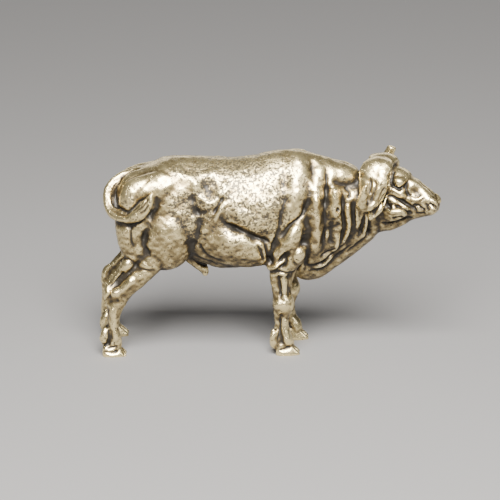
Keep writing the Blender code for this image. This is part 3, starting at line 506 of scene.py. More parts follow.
BODY_STROKES = (
    # The hip bone's ridges and the folds below the flank.
    (BOTH, 1.59, -0.6, 0, (
        (15.1, 55.2), (19.6, 54.9), (24.0, 53.4), (29.0, 52.4), (32.8, 53.6), (36.9, 55.1))),
    (BOTH, 1.47, -0.75, 0, ((28.1, 52.4), (30.1, 49.2), (32.2, 46.7), (33.7, 45.2))),
    (BOTH, 1.35, -0.4, 0, ((33.4, 45.2), (35.4, 47.1), (36.9, 49.9), (38.4, 52.4))),
    (BOTH, 0.65, 0.8, 0, ((36.9, 48.7), (35.4, 45.9), (34.0, 43.1))),
    (BOTH, 0.76, -0.6, 0, ((37.5, 46.9), (35.7, 44.2), (34.0, 40.7))),
    (BOTH, 0.65, 0.35, 0, ((15.7, 53.2), (13.7, 51.2), (12.2, 48.9), (11.0, 46.5))),
    # The valley before the thigh, with the groove in its floor.
    (BOTH, 1.91, 0.7, 0, ((26.6, 48.6), (28.4, 45.5), (29.9, 42.1))),
    (BOTH, 1.29, 1.1, 0, ((28.7, 46.1), (29.9, 42.4), (29.6, 38.7), (28.4, 34.4), (26.9, 30.4))),
    # The clefts of the thigh, and the fold above the gaskin.
    (BOTH, 0.71, 0.9, 0, ((14.9, 39.3), (14.0, 36.8), (13.7, 34.3), (14.6, 32.0), (16.0, 30.1))),
    (BOTH, 0.53, 0.45, 0, ((9.6, 40.9), (9.9, 38.0), (10.1, 35.1), (11.0, 32.3))),
    (BOTH, 0.71, 0.5, 0.2, (
        (5.4, 27.6), (8.1, 29.3), (9.9, 28.9), (11.9, 27.1), (14.6, 26.4), (17.5, 26.5))),
    # The hollow between the gaskin and the tendon of the hock.
    (BOTH, 0.65, 0.3, 0, ((6.3, 25.7), (8.4, 24.7), (10.7, 25.8), (13.1, 26.3))),
    (BOTH, 0.76, 1.3, 0, ((8.1, 25.4), (6.6, 23.5), (4.9, 21.8), (2.8, 19.9))),
    (BOTH, 1.18, -0.8, 0, ((11.0, 24.2), (8.1, 21.2), (5.7, 19.4), (4.0, 18.6))),
    (BOTH, 0.59, -0.4, 0, ((5.7, 23.4), (5.4, 23.1), (3.7, 20.7), (1.6, 16.5))),
    (BOTH, 0.53, 0.2, 0, ((3.4, 16.6), (5.1, 16.4), (6.9, 17.1))),
    # The belly crease under the ribs, and the folds where the belly meets the elbow.
    (BOTH, 0.82, 1.2, 0.15, (
        (36.0, 42.8), (37.8, 40.5), (40.4, 38.9), (43.4, 37.4), (46.3, 36.1), (49.3, 34.8),
        (51.9, 34.0))),
    (BOTH, 2.21, 0.8, 0, (
        (36.9, 42.2), (40.4, 39.7), (43.4, 38.1), (46.3, 36.9), (49.3, 35.5), (51.9, 34.3))),
    (BOTH, 0.56, 1.0, 0, ((48.1, 34.6), (49.3, 32.0), (49.9, 29.3), (50.1, 27.1))),
    (BOTH, 0.50, -0.5, 0, ((47.2, 35.0), (48.7, 32.7), (49.3, 29.6))),
    (BOTH, 0.56, 0.7, 0, ((46.3, 34.6), (47.8, 31.6), (48.7, 28.3))),
    (BOTH, 0.59, 0.15, 0, ((36.3, 31.0), (40.4, 30.1), (45.1, 29.3), (48.4, 29.3))),
    # The wrinkles that run to the sheath.
    (BOTH, 0.47, 0.45, 0, ((29.6, 35.0), (31.0, 31.5), (33.4, 29.4), (37.5, 28.3))),
    (BOTH, 0.44, 0.5, 0, ((27.2, 30.6), (29.6, 28.9), (32.2, 28.0), (35.4, 26.8))),
    (BOTH, 0.41, 0.5, 0, ((26.6, 28.0), (29.0, 25.8), (31.6, 23.9))),
    # The groove behind the shoulder, deepest above the elbow.
    (BOTH, 0.76, 0.8, 0, (
        (54.6, 48.9), (54.3, 46.0), (53.7, 43.1), (53.4, 40.1), (52.5, 36.9), (51.3, 33.4),
        (50.4, 29.9), (50.1, 26.6))),
    (BOTH, 2.06, 0.3, 0, ((55.1, 55.1), (54.9, 49.1), (54.6, 45.4))),
    (BOTH, 0.82, 0.5, 0, ((52.5, 36.9), (51.3, 33.0), (50.4, 29.2), (50.1, 26.5))),
    # The upper arm's outline and the folds of the elbow.
    (BOTH, 0.71, 1.3, 0, (
        (52.8, 35.7), (54.6, 37.6), (56.3, 39.5), (58.1, 41.3), (59.9, 42.9), (60.7, 45.0),
        (61.9, 48.0))),
    (BOTH, 0.68, 0.8, 0, (
        (60.1, 39.3), (60.7, 35.8), (61.0, 32.8), (61.3, 29.6), (61.0, 26.0), (60.4, 23.0))),
    (BOTH, 0.88, 0.6, 0, ((60.4, 37.0), (60.4, 34.8), (61.0, 32.7))),
    (BOTH, 0.65, 0.9, 0, ((50.7, 24.8), (53.1, 25.5), (56.0, 25.0), (58.4, 24.9), (60.1, 26.7))),
    (BOTH, 0.53, -1.0, 0, ((50.4, 26.2), (52.8, 27.8), (55.1, 30.0))),
    (BOTH, 0.44, 1.0, 0, ((52.8, 26.7), (54.6, 27.9), (55.7, 29.9))),
)

LEG_PADS = (
    # The muscle of the forearm, the knee and the hock.
    (BOTH, 54.7, 21.2, 1.2, 3.1, 0, 0.6),
    (BOTH, 54.6, 15.8, 2.4, 2.3, 0, 0.7),
    (BOTH, 55.1, 16.4, 1.0, 1.2, 0, 0.3),
    (BOTH, 52.5, 15.7, 0.9, 1.4, 0, 0.3),
    (BOTH, 4.9, 19.1, 1.8, 1.5, 30, 0.7),
)

LEG_STROKES = (
    # The fore leg: the grooves of the forearm, the knee, and the tendon behind the bone.
    (BOTH, 0.74, 1.1, 0, ((52.9, 24.9), (53.1, 21.2), (53.4, 17.6))),
    (BOTH, 0.71, 1.2, 0, ((56.0, 24.9), (56.3, 21.5), (56.0, 17.7))),
    (BOTH, 0.38, 0.4, 0, ((53.4, 23.7), (54.6, 24.0), (55.7, 23.2))),
    (BOTH, 0.53, 0.25, 0, ((52.5, 18.2), (54.6, 16.5), (56.9, 14.9))),
    (BOTH, 0.59, 0.3, 0, ((53.1, 13.1), (55.1, 11.3), (56.9, 9.9))),
    (BOTH, 0.65, 0.8, 0, ((53.5, 12.7), (53.4, 9.2), (53.1, 6.5), (52.5, 3.6))),
    (BOTH, 0.88, -0.7, 0, ((54.9, 12.4), (54.6, 8.8), (55.1, 5.6), (56.3, 2.8))),
    (BOTH, 0.47, -0.5, 0, ((51.9, 8.6), (51.3, 6.6), (51.0, 4.7))),
    (BOTH, 0.35, 0.6, 0, ((53.1, 1.7), (54.9, 2.1), (56.6, 2.8))),
    # The hind leg: the groove behind the bone, the fetlock and the hoof.
    (BOTH, 0.56, 0.6, 0, ((2.5, 15.4), (2.5, 10.2), (2.5, 7.4))),
    (BOTH, 0.71, -0.6, 0, ((4.6, 15.5), (4.6, 11.5), (4.9, 7.9), (5.4, 4.0))),
    (BOTH, 0.53, 0.6, 0, ((3.4, 8.7), (3.4, 6.0), (2.8, 4.1))),
    (BOTH, 0.50, 0.6, 0, ((0.4, 2.9), (2.2, 3.5), (3.7, 4.5))),
    (BOTH, 0.32, 0.5, 0, ((2.2, 2.5), (4.0, 3.0), (6.0, 3.3))),
    (BOTH, 0.35, 0.8, 0, ((1.3, 1.8), (3.7, 1.4), (6.3, 1.9))),
    (BOTH, 0.26, 0.4, 0, ((6.9, 2.2), (7.8, 1.1), (8.1, 0.3))),
)

TAIL_STROKES = (
    # The line where the tail lies against the rump, and the shadow under it.
    (RIGHT, 0.50, 0.9, 0, (
        (11.0, 53.4), (7.2, 51.6), (4.9, 49.6), (4.0, 47.4), (4.6, 45.1), (6.9, 44.1), (9.3, 43.7),
        (11.0, 45.0), (12.2, 46.4), (14.3, 47.6), (16.0, 49.5))),
    (RIGHT, 0.71, 0.4, 0, ((4.3, 41.2), (6.6, 40.0), (9.9, 39.8), (13.1, 41.0), (15.1, 42.2))),
    (RIGHT, 0.82, 0.8, 0, ((14.6, 41.5), (16.3, 43.5), (17.5, 45.6), (17.5, 48.7))),
)

TUFT_STROKES = (
    # The hair of the tuft.
    (RIGHT, 0.29, 0.45, 0, ((10.7, 43.8), (12.5, 45.2), (14.3, 47.1), (15.4, 49.2))),
    (RIGHT, 0.29, 0.4, 0, ((12.2, 43.7), (14.3, 45.3), (15.7, 47.8))),
    (RIGHT, 0.26, 0.35, 0, ((10.4, 44.4), (12.2, 45.8), (14.0, 47.9))),
)

NECK_STROKES = (
    # The folds before the shoulder.
    (BOTH, 0.76, 0.5, 0, ((62.8, 57.4), (62.8, 54.5), (63.1, 52.0), (63.1, 49.5))),
    (BOTH, 0.82, 0.35, 0, ((62.5, 49.9), (61.6, 46.2), (60.7, 42.9))),
    (BOTH, 1.91, -1.3, 0, ((63.7, 53.9), (63.7, 45.6), (63.7, 39.7), (63.4, 33.1), (62.8, 28.5))),
    (BOTH, 0.88, 0.9, 0, ((61.0, 43.5), (61.3, 37.8), (61.0, 32.1))),
    (BOTH, 0.82, 1.3, 0, (
        (66.6, 55.8), (66.9, 51.6), (66.6, 47.1), (66.6, 42.3), (66.3, 37.2), (66.3, 32.7),
        (64.9, 29.2))),
    (BOTH, 1.47, 0.6, 0, ((66.9, 51.5), (66.6, 48.0), (66.6, 44.2))),
    # The upright folds behind the horn and the ear.
    (BOTH, 0.56, 0.851, 0, ((67.8, 38.6), (68.4, 35.7), (68.1, 32.3))),
    (BOTH, 1.47, -1.0, 0, ((68.7, 50.8), (69.3, 47.4), (69.6, 43.8), (69.9, 40.6))),
    (BOTH, 0.94, 0.5, 0, ((66.9, 39.4), (69.0, 38.1), (71.3, 39.5))),
    (BOTH, 0.62, 1.13, 0, ((71.0, 49.4), (71.6, 44.5), (71.9, 39.5), (71.6, 34.7), (70.4, 30.3))),
    (BOTH, 1.06, -0.8, 0, ((70.4, 36.4), (69.9, 32.7), (68.4, 29.5))),
    (BOTH, 0.82, -1.03, 0, ((73.1, 45.7), (73.1, 41.0), (73.1, 36.4), (71.9, 32.2))),
    (BOTH, 0.85, 1.13, 0, ((74.6, 46.7), (75.1, 42.6), (75.1, 38.6), (74.3, 34.5), (72.5, 30.4))),
    (BOTH, 0.50, -0.575, 0, ((74.6, 39.3), (74.9, 36.6), (74.0, 33.9))),
    (BOTH, 0.56, 1.13, 0, ((76.9, 47.9), (77.2, 42.3), (77.2, 37.1), (76.0, 33.1))),
    (BOTH, 0.47, -0.69, 0, ((78.1, 42.2), (78.4, 38.6), (77.8, 35.1))),
    (BOTH, 0.53, 1.03, 0, ((79.3, 40.6), (79.6, 37.1), (78.7, 33.9))),
    # The hollow under the nape.
    (BOTH, 0.85, 0.8, 0, ((67.8, 52.2), (71.0, 51.1), (74.3, 50.8), (77.5, 51.8))),
    (BOTH, 0.47, 0.8, 0, ((72.2, 50.5), (73.4, 48.6), (73.1, 46.7))),
    (BOTH, 0.59, 1.0, 0, ((76.3, 54.2), (77.2, 52.9), (77.8, 51.2), (77.5, 48.3))),
    # The folds that sweep back along the dewlap.
    (BOTH, 0.56, 1.3, 0, (
        (60.1, 27.0), (61.9, 25.2), (64.6, 25.3), (67.5, 27.1), (70.4, 29.9), (72.8, 32.5))),
    (BOTH, 0.50, 1.1, 0, ((61.6, 23.5), (65.1, 23.5), (68.1, 25.2), (71.3, 28.4), (74.6, 32.0))),
    (BOTH, 0.44, 0.8, 0, ((64.9, 27.9), (67.5, 29.8), (69.9, 31.8))),
    (BOTH, 0.38, -0.5, 0, ((63.1, 24.3), (66.3, 25.3), (69.6, 28.0))),
    (BOTH, 0.47, 0.8, 0, ((72.5, 28.4), (75.4, 30.9), (78.1, 33.5), (80.7, 36.4))),
)

HEAD_PADS = (
    # The jaw, the ball of the eye and the side of the nose.
    (BOTH, 7.3, 42.4, 3.5, 1.8, 4, 0.5),
    (BOTH, 8.3, 49.2, 0.8, 0.9, 0, 0.5),
    (BOTH, 12.2, 47.7, 2.1, 1.5, -30, -0.35),
    (BOTH, 8.2, 52.6, 1.8, 1.7, 0, 0.2),
)

HEAD_STROKES = (
    # The eye under its brow, and the groove down from its inner corner.
    (BOTH, 0.50, 0.6, 0, ((5.3, 54.7), (5.1, 52.6), (4.9, 50.1))),
    (BOTH, 0.41, 1.3, 0, ((4.8, 50.8), (6.3, 49.6), (7.7, 49.3), (9.3, 50.4))),
    (BOTH, 0.41, -0.7, 0, ((4.9, 49.7), (6.7, 48.9), (8.5, 47.7), (9.8, 47.3))),
    (BOTH, 0.41, 1.1, 0, ((9.7, 52.0), (9.5, 49.7), (10.0, 47.8), (11.0, 46.7))),
    # The cheek's folds and the line of the jaw.
    (BOTH, 0.44, 1.3, 0, (
        (4.1, 47.0), (5.8, 46.8), (7.5, 46.0), (8.8, 45.5), (9.9, 44.7), (11.1, 43.8), (12.9, 42.3))),
    (BOTH, 0.44, -0.6, 0, ((5.3, 45.5), (7.6, 45.2), (9.3, 44.3), (10.6, 42.9))),
    (BOTH, 0.41, 1.2, 0, ((6.0, 44.4), (7.7, 44.2), (9.0, 43.5), (10.0, 42.6), (11.1, 41.3))),
    (BOTH, 0.68, 1.3, 0, ((4.2, 48.5), (3.6, 46.4), (4.2, 44.2), (6.1, 43.3))),
    (BOTH, 0.44, -0.6, 0, ((3.6, 43.6), (5.3, 42.7), (7.4, 42.9), (9.5, 42.8), (10.6, 41.7))),
    (BOTH, 0.35, 0.7, 0, ((5.4, 40.3), (7.1, 40.9), (9.1, 41.3))),
    (BOTH, 0.47, 1.4, 0, ((1.4, 39.1), (3.3, 38.2), (5.5, 38.2), (8.4, 39.0), (11.4, 40.1))),
    # The mouth, the nostril and the ridge of the nose.
    (BOTH, 0.38, 0.9, 0, ((11.1, 44.4), (13.2, 44.2), (14.2, 43.4), (15.4, 42.9))),
    (BOTH, 0.32, 0.4, 0, ((11.7, 42.0), (13.2, 41.9), (15.4, 42.3))),
    (BOTH, 0.41, 1.3, 0, ((16.1, 45.6), (17.3, 44.8), (17.9, 44.5), (18.5, 44.7))),
    (BOTH, 0.35, -0.5, 0, ((16.7, 44.0), (17.8, 43.6), (18.3, 43.6))),
    (BOTH, 0.88, -0.6, 0, ((9.9, 51.9), (12.3, 50.3), (14.7, 48.3), (16.6, 46.4), (18.1, 44.9))),
    (BOTH, 0.59, 0.25, 0, ((10.5, 49.8), (11.6, 48.7), (13.5, 47.3), (15.1, 46.0))),
    (BOTH, 0.35, -0.5, 0, ((10.5, 46.8), (12.0, 46.0), (13.4, 46.3), (14.1, 47.4))),
    (BOTH, 0.32, 0.4, 0, ((15.5, 45.5), (15.8, 44.0), (16.4, 42.8))),
)

HORN_STROKES = (
    # The grain of the horn, its crest, and the ragged edge of the ear.
    (BOTH, 0.44, 0.35, 0, ((-0.5, 53.4), (0.0, 51.1), (-0.4, 48.2))),
    (BOTH, 0.44, 0.4, 0, ((0.5, 53.2), (1.6, 51.0), (0.9, 48.1), (0.5, 45.2))),
    (BOTH, 0.44, 0.35, 0, ((4.7, 51.2), (2.9, 48.4), (1.9, 45.4))),
    (BOTH, 0.53, 0.15, 0, ((1.8, 56.2), (1.6, 53.4), (2.4, 50.6))),
    (BOTH, 0.38, 0.35, 0, ((-2.0, 56.3), (-0.2, 57.6), (2.0, 57.8), (4.0, 56.7), (5.4, 54.4))),
    (BOTH, 0.32, 0.6, 0, ((4.6, 49.4), (3.4, 47.1), (1.8, 44.2), (0.4, 41.3))),
)


def faded(amount):
    amount = np.clip(amount, 0, 1)
    return amount * amount * (3 - 2 * amount)


def distance_to(points, path):
    """The distance from each point to the nearest of the path's points."""
    nearest = np.full(len(points), 99.0)
    for spot in path:
        nearest = np.minimum(nearest, np.sqrt(((points - spot) ** 2).sum(1)))
    return nearest


def on_side(sideways, outward, side):
    """How far a point counts as on this side of the figure and facing out of it."""
    return faded(0.5 + sideways * side / 1.2) * faded((outward * side + 0.35) / 0.6)


def ripples(points, size, seed):
    """A smooth uneven pattern over the points, about -1 to 1, with lumps of this size."""
    chance = np.random.default_rng(seed)
    total = np.zeros(len(points))
    for _ in range(9):
        way = chance.normal(size=points.shape[1])
        way *= 2 * math.pi / (size * chance.uniform(0.7, 1.4) * np.linalg.norm(way))
        total += np.sin(points @ way + chance.uniform(0, 2 * math.pi))
    return total / 3


def press_stroke(flat, width, depth, lip, path):
    """How far the stroke moves each point of the side view, outwards."""
    path = smooth_path(path, 5)
    near = ((flat > path.min(0) - 6 * width) & (flat < path.max(0) + 6 * width)).all(1)
    moved = np.zeros(len(flat))
    if not near.any():
        return moved
    starts, runs = path[:-1], np.diff(path, axis=0)
    lengths = np.hypot(*runs.T)
    offset = flat[near][:, None] - starts
    share = np.clip((offset * runs).sum(2) / lengths**2, 0, 1)
    apart = offset - share[..., None] * runs
    distance = np.hypot(apart[..., 0], apart[..., 1])
    best = distance.argmin(1)
    row = np.arange(len(best))
    distance, share = distance[row, best], share[row, best]
    gone = np.concatenate([[0], np.cumsum(lengths)])[best] + share * lengths[best]
    fade = faded(np.minimum(gone, lengths.sum() - gone) / (0.25 * lengths.sum()) + 0.1)
    left = np.sign(runs[best, 0] * apart[row, best, 1] - runs[best, 1] * apart[row, best, 0])
    apart = distance / (width * (1 + 0.2 * ripples(flat[near], 5, 4)))
    # A groove is a crease between two swelling sides, and a ridge is round.
    groove = np.exp(0.35 - np.sqrt(apart**2 + 0.1225)) if depth > 0 else np.exp(-(apart**2))
    raised = np.where(left * np.sign(lip) > 0, np.exp(-((apart - 1.8) ** 2)), 0)
    fade *= np.exp(-((apart / 5) ** 4)) * (1 + 0.18 * ripples(flat[near], 4, 5))
    moved[near] = fade * (abs(lip) * raised - depth * groove)
    return moved


def press_pad(flat, ahead, up, long, high, pitch, rise):
    """How far the pad moves each point of the side view, outwards."""
    turn = math.radians(pitch)
    offset = flat - (ahead, up)
    along = (offset[:, 0] * math.cos(turn) + offset[:, 1] * math.sin(turn)) / long
    across = (offset[:, 1] * math.cos(turn) - offset[:, 0] * math.sin(turn)) / high
    return rise * np.clip(1 - (along**2 + across**2) / 2.2, 0, 1) ** 2


def leg_frame(points):
    """Points as if both legs of a pair stood level with the right one."""
    level = points.copy()
    left, up = faded(points[:, 1] / 2), points[:, 2]
    fore = 1.9 * faded((26 - up) / 5) + 0.9 * faded((8 - up) / 3)
    hind = -1.0 * faded((25 - up) / 6) - 1.0 * faded((16 - up) / 6)
    level[:, 0] -= left * np.where(points[:, 0] > 40, fore, hind)
    return level


def head_frame(points):
    """Points as the head has them: ahead of its upright line, sideways and up."""
    ahead, sideways = points[:, 0] - HEAD_PLACE, points[:, 1]
    return np.column_stack(
        (
            ahead * math.cos(HEAD_TURN) - sideways * math.sin(HEAD_TURN),
            ahead * math.sin(HEAD_TURN) + sideways * math.cos(HEAD_TURN),
            points[:, 2],
        )
    )


def carving(points, normals, pads, strokes, frame=None):
    """How far the pads and strokes move each point along its normal."""
    seen, facing = points, normals
    if frame:
        seen, facing = frame(points), frame(points + normals) - frame(points)
    waver = np.column_stack([ripples(points, 6, seed) for seed in (1, 2)])
    flat, sideways, outward = seen[:, [0, 2]] + WAVER * waver, seen[:, 1], facing[:, 1]
    right, left = (on_side(sideways, outward, side) for side in (-1, 1))
    moved = np.zeros(len(points))
    for press, rows in ((press_pad, pads), (press_stroke, strokes)):
        for sides, *shape in rows:
            moved += press(flat, *shape) * (right + left if sides == BOTH else right)
    return moved


def worked(points, normals):
    """How far all the modelling moves each point along its normal."""
    in_head = head_frame(points)
    ahead, aside = in_head[:, 0], abs(in_head[:, 1])
    on_head = faded((ahead - 1.5) / 2)
    on_horn = faded(ahead + 5) * faded(aside - 7)
    off_tail = faded((distance_to(points, smooth_path(TAIL, 5)[:, :3]) - 1.3) / 1.2)
    on_body = (1 - on_head) * (1 - on_horn) * off_tail
    return (
        on_body * carving(points, normals, BODY_PADS, BODY_STROKES + NECK_STROKES)
        + carving(points, normals, LEG_PADS, LEG_STROKES, leg_frame)
        + off_tail * carving(points, normals, (), TAIL_STROKES)
        + (1 - off_tail) * carving(points, normals, (), TUFT_STROKES)
        + on_head * (1 - on_horn) * carving(points, normals, HEAD_PADS, HEAD_STROKES, head_frame)
        + faded(aside - 5) * carving(points, normals, (), HORN_STROKES, head_frame)
    )


def figure_skin(grain):
    """The whole figure as one smooth skin, with its folds worked in."""
    rounds = 1 / grain**2
    clay = bmesh.new()
    add_trunk(clay)
    skin = fused(clay, grain)
    set_points(skin, relaxed(points_of(skin), edges_of(skin), round(7 * rounds)))

    clay = bmesh.new()
    clay.from_mesh(skin)
    add_tail(clay)
    add_head(clay)
    add_fore_leg(clay, -1, 0.0, 0.0, 1.8)
    add_fore_leg(clay, 1, 1.9, 2.8, -2.3)
    add_hind_leg(clay, -1, 0.0, 0.0)
    add_hind_leg(clay, 1, 2.3, -2.3)
    skin = fused(clay, grain)
    edges = edges_of(skin)
    points = relaxed(points_of(skin), edges, round(rounds))
    set_points(skin, points)

    normals = normals_of(skin)
    uneven = 0.07 * ripples(points, 5, 7) + 0.035 * ripples(points, 1.8, 8)
    points += normals * (worked(points, normals) + faded(points[:, 2] / 6) * uneven)[:, None]
    set_points(skin, relaxed(points, edges, 1))
    return skin


def cut_soles(skin):
    """The skin cut off flat where the hooves stand, and closed there."""
    cutting = bmesh.new()
    cutting.from_mesh(skin)
    parts = cutting.verts[:] + cutting.edges[:] + cutting.faces[:]
    bmesh.ops.bisect_plane(
        cutting, geom=parts, plane_co=(0, 0, 0), plane_no=(0, 0, 1), dist=CLAY_GRAIN / 30, clear_inner=True
    )
    rims = [edge for edge in cutting.edges if edge.is_boundary]
    bmesh.ops.holes_fill(cutting, edges=rims, sides=0)
    bmesh.ops.triangulate(cutting, faces=cutting.faces[:])
    cutting.to_mesh(skin)
    cutting.free()


def thinned(skin, triangles):
    """The skin with about this many triangles, by a Decimate that keeps its form."""
    lump = mesh_object("fine", skin)
    thin = lump.modifiers.new("thin", "DECIMATE")
    thin.ratio = triangles / len(skin.polygons)
    graph = bpy.context.evaluated_depsgraph_get()
    mesh = bpy.data.meshes.new_from_object(lump.evaluated_get(graph))
    bpy.data.objects.remove(lump)
    points = points_of(mesh)
    points[abs(points[:, 2]) < CLAY_GRAIN / 10, 2] = 0
    set_points(mesh, points)
    return mesh


def fitted(skin):
    """The skin in metres, fitted to the solid's box. Returns the scale and the shift."""
    low, high = (np.array(corner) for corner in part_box("bull_figure"))
    points = points_of(skin)
    unit = (high[0] - low[0]) / np.ptp(points[:, 0])
    middle = (points.min(0) + points.max(0)) / 2
    shift = (low + high) / 2 - middle * unit
    shift[2] = low[2] - points[:, 2].min() * unit
    set_points(skin, points * unit + shift)
    return unit, shift


def blurred(values, edges, rounds):
    """Values at the points, each averaged with its neighbours this many times."""
    count = np.bincount(edges.ravel(), minlength=len(values))
    for _ in range(rounds):
        total = np.bincount(edges[:, 0], values[edges[:, 1]], len(values))
        total += np.bincount(edges[:, 1], values[edges[:, 0]], len(values))
        values = 0.5 * values + 0.5 * total / count
    return values


def sunk(points, normals, edges, rounds):
    """How far each point lies below the average of the skin round it."""
    soft = np.column_stack([blurred(points[:, axis], edges, rounds) for axis in range(3)])
    return ((soft - points) * normals).sum(1)


RAY_START = 0.004
OPEN_DOWN_TO = -0.25


def openness(points, normals, skin, reach, rays=28, every=5):
    """The share of its surroundings that each point sees, from 0 to 1. Rays start just off
    the skin, and those that point down steeper than OPEN_DOWN_TO see only the ground."""
    tree = BVHTree.FromPolygons(
        [vertex.co[:] for vertex in skin.vertices], [face.vertices[:] for face in skin.polygons]
    )
    turns = np.arange(rays) * math.pi * (3 - math.sqrt(5))
    rise = np.sqrt((np.arange(rays) + 0.5) / rays)
    spread = np.sqrt(1 - rise**2)
    sky = np.column_stack((spread * np.cos(turns), spread * np.sin(turns), rise))
    picked = np.arange(0, len(points), every)
    known = KDTree(len(picked))
    seen = np.empty(len(picked))
    for index, vertex in enumerate(picked):
        normal = Vector(normals[vertex])
        start = Vector(points[vertex]) + normal * reach * RAY_START
        turn = normal.to_track_quat("Z", "Y")
        free = 0
        for ray in sky:
            hit = tree.ray_cast(start, turn @ Vector(ray), reach)
            free += 1 if hit[0] is None and (turn @ Vector(ray)).z > OPEN_DOWN_TO else 0
        seen[index] = free / rays
        known.insert(start, index)
    known.balance()
    nearest = [known.find(point)[1] for point in points]
    return seen[nearest]


def keep_values(skin, name, values):
    layer = skin.attributes.new(name, "FLOAT", "POINT")
    layer.data.foreach_set("value", np.clip(values, 0, 1).astype(np.float32))


# Where the casting is rough with small pits: ahead, up, half length, half height, pitch, amount.
ROUGH_PATCHES = (
    (43.0, 50.5, 14.0, 11.0, -15, 0.75),
    (44.0, 56.5, 12.0, 3.5, 0, 0.5),
    (52.5, 45.0, 3.4, 9.0, 5, 1.3),
    (48.0, 41.5, 8.0, 4.0, -25, 1.0),
    (32.0, 49.5, 3.4, 4.6, 10, 1.0),
    (26.6, 43.4, 5.0, 5.6, 20, 1.7),
    (28.5, 37.5, 2.6, 5.5, 0, 1.3),
    (24.0, 46.5, 4.0, 4.0, 0, 0.5),
    (27.0, 55.0, 6.0, 2.0, 0, 0.9),
    (37.5, 53.0, 5.0, 4.5, 0, 0.7),
    (41.0, 36.8, 8.0, 2.4, -25, 0.8),
    (56.5, 55.5, 4.5, 4.0, 0, 0.5),
    (66.6, 47.0, 1.8, 7.5, 0, 0.9),
    (60.8, 48.0, 2.0, 5.5, 0, 0.5),
    (74.0, 50.5, 3.5, 2.0, 0, 0.6),
    (12.0, 47.5, 6.0, 6.0, 0, 0.25),
    (9.0, 46.6, 2.5, 2.5, 0, 0.5),
    (88.0, 45.5, 4.0, 4.0, 0, 0.3),
)


def finish_values(skin, unit, shift):
    """Writes what the finish needs at each point: how hollow it lies, how much of its surroundings it
    sees, for painted shade, and how pitted it is.
    """
    points, edges = (points_of(skin) - shift) / unit, edges_of(skin)
    normals = normals_of(skin)
    fine = sunk(points, normals, edges, 3)
    broad = sunk(points, normals, edges, 30) * faded((1.0 - normals[:, 2]) / 0.35)
    # How much of its surroundings each point sees, with down-facing rays counting as closed; the finish
    # paints shade with it.
    sky = blurred(openness(points_of(skin), normals, skin, 12 * unit), edges, 5)
    pressed = blurred(np.clip(-worked(points, normals), 0, 2), edges, 2)
    rough = np.full(len(points), 0.1)
    for patch in ROUGH_PATCHES:
        rough += press_pad(points[:, [0, 2]], *patch)
    keep_values(skin, "fine", 0.5 + fine * 5)
    keep_values(skin, "broad", 0.5 + broad * 1.2)
    keep_values(skin, "sky", sky)
    keep_values(skin, "pressed", pressed / 2)
    keep_values(skin, "rough", rough * faded((points[:, 2] - 24) / 6))


def value_node(tree, name):
    node = tree.nodes.new("ShaderNodeAttribute")
    node.attribute_name = name
    return node.outputs["Fac"]


def join(tree, target, source):
    if isinstance(source, (int, float, tuple)):
        target.default_value = source
    else:
        tree.links.new(source, target)


def maths(tree, operation, *inputs):
    node = tree.nodes.new("ShaderNodeMath")
    node.operation = operation
    for socket, source in zip(node.inputs, inputs):
        join(tree, socket, source)
    return node.outputs[0]


def ramp(tree, source, low, high):
    """A smooth step of the source from low to high."""
    node = tree.nodes.new("ShaderNodeMapRange")
    node.interpolation_type = "SMOOTHSTEP"
    for socket, value in zip(node.inputs, (source, low, high, 0.0, 1.0)):
        join(tree, socket, value)
    return node.outputs[0]


def blend(tree, amount, first, second):
    node = tree.nodes.new("ShaderNodeMix")
    node.data_type = "RGBA"
    join(tree, node.inputs["Factor"], amount)
    join(tree, node.inputs[6], first)
    join(tree, node.inputs[7], second)
    return node.outputs[2]


def noise(tree, size, detail, roughness):
    """Noise whose lumps are about this size, in metres."""
    spot = tree.nodes.new("ShaderNodeTexCoord").outputs["Object"]
    node = tree.nodes.new("ShaderNodeTexNoise")
    tree.links.new(spot, node.inputs["Vector"])
    node.inputs["Scale"].default_value = 1 / size
    node.inputs["Detail"].default_value = detail
    node.inputs["Roughness"].default_value = roughness
    return node.outputs["Fac"]


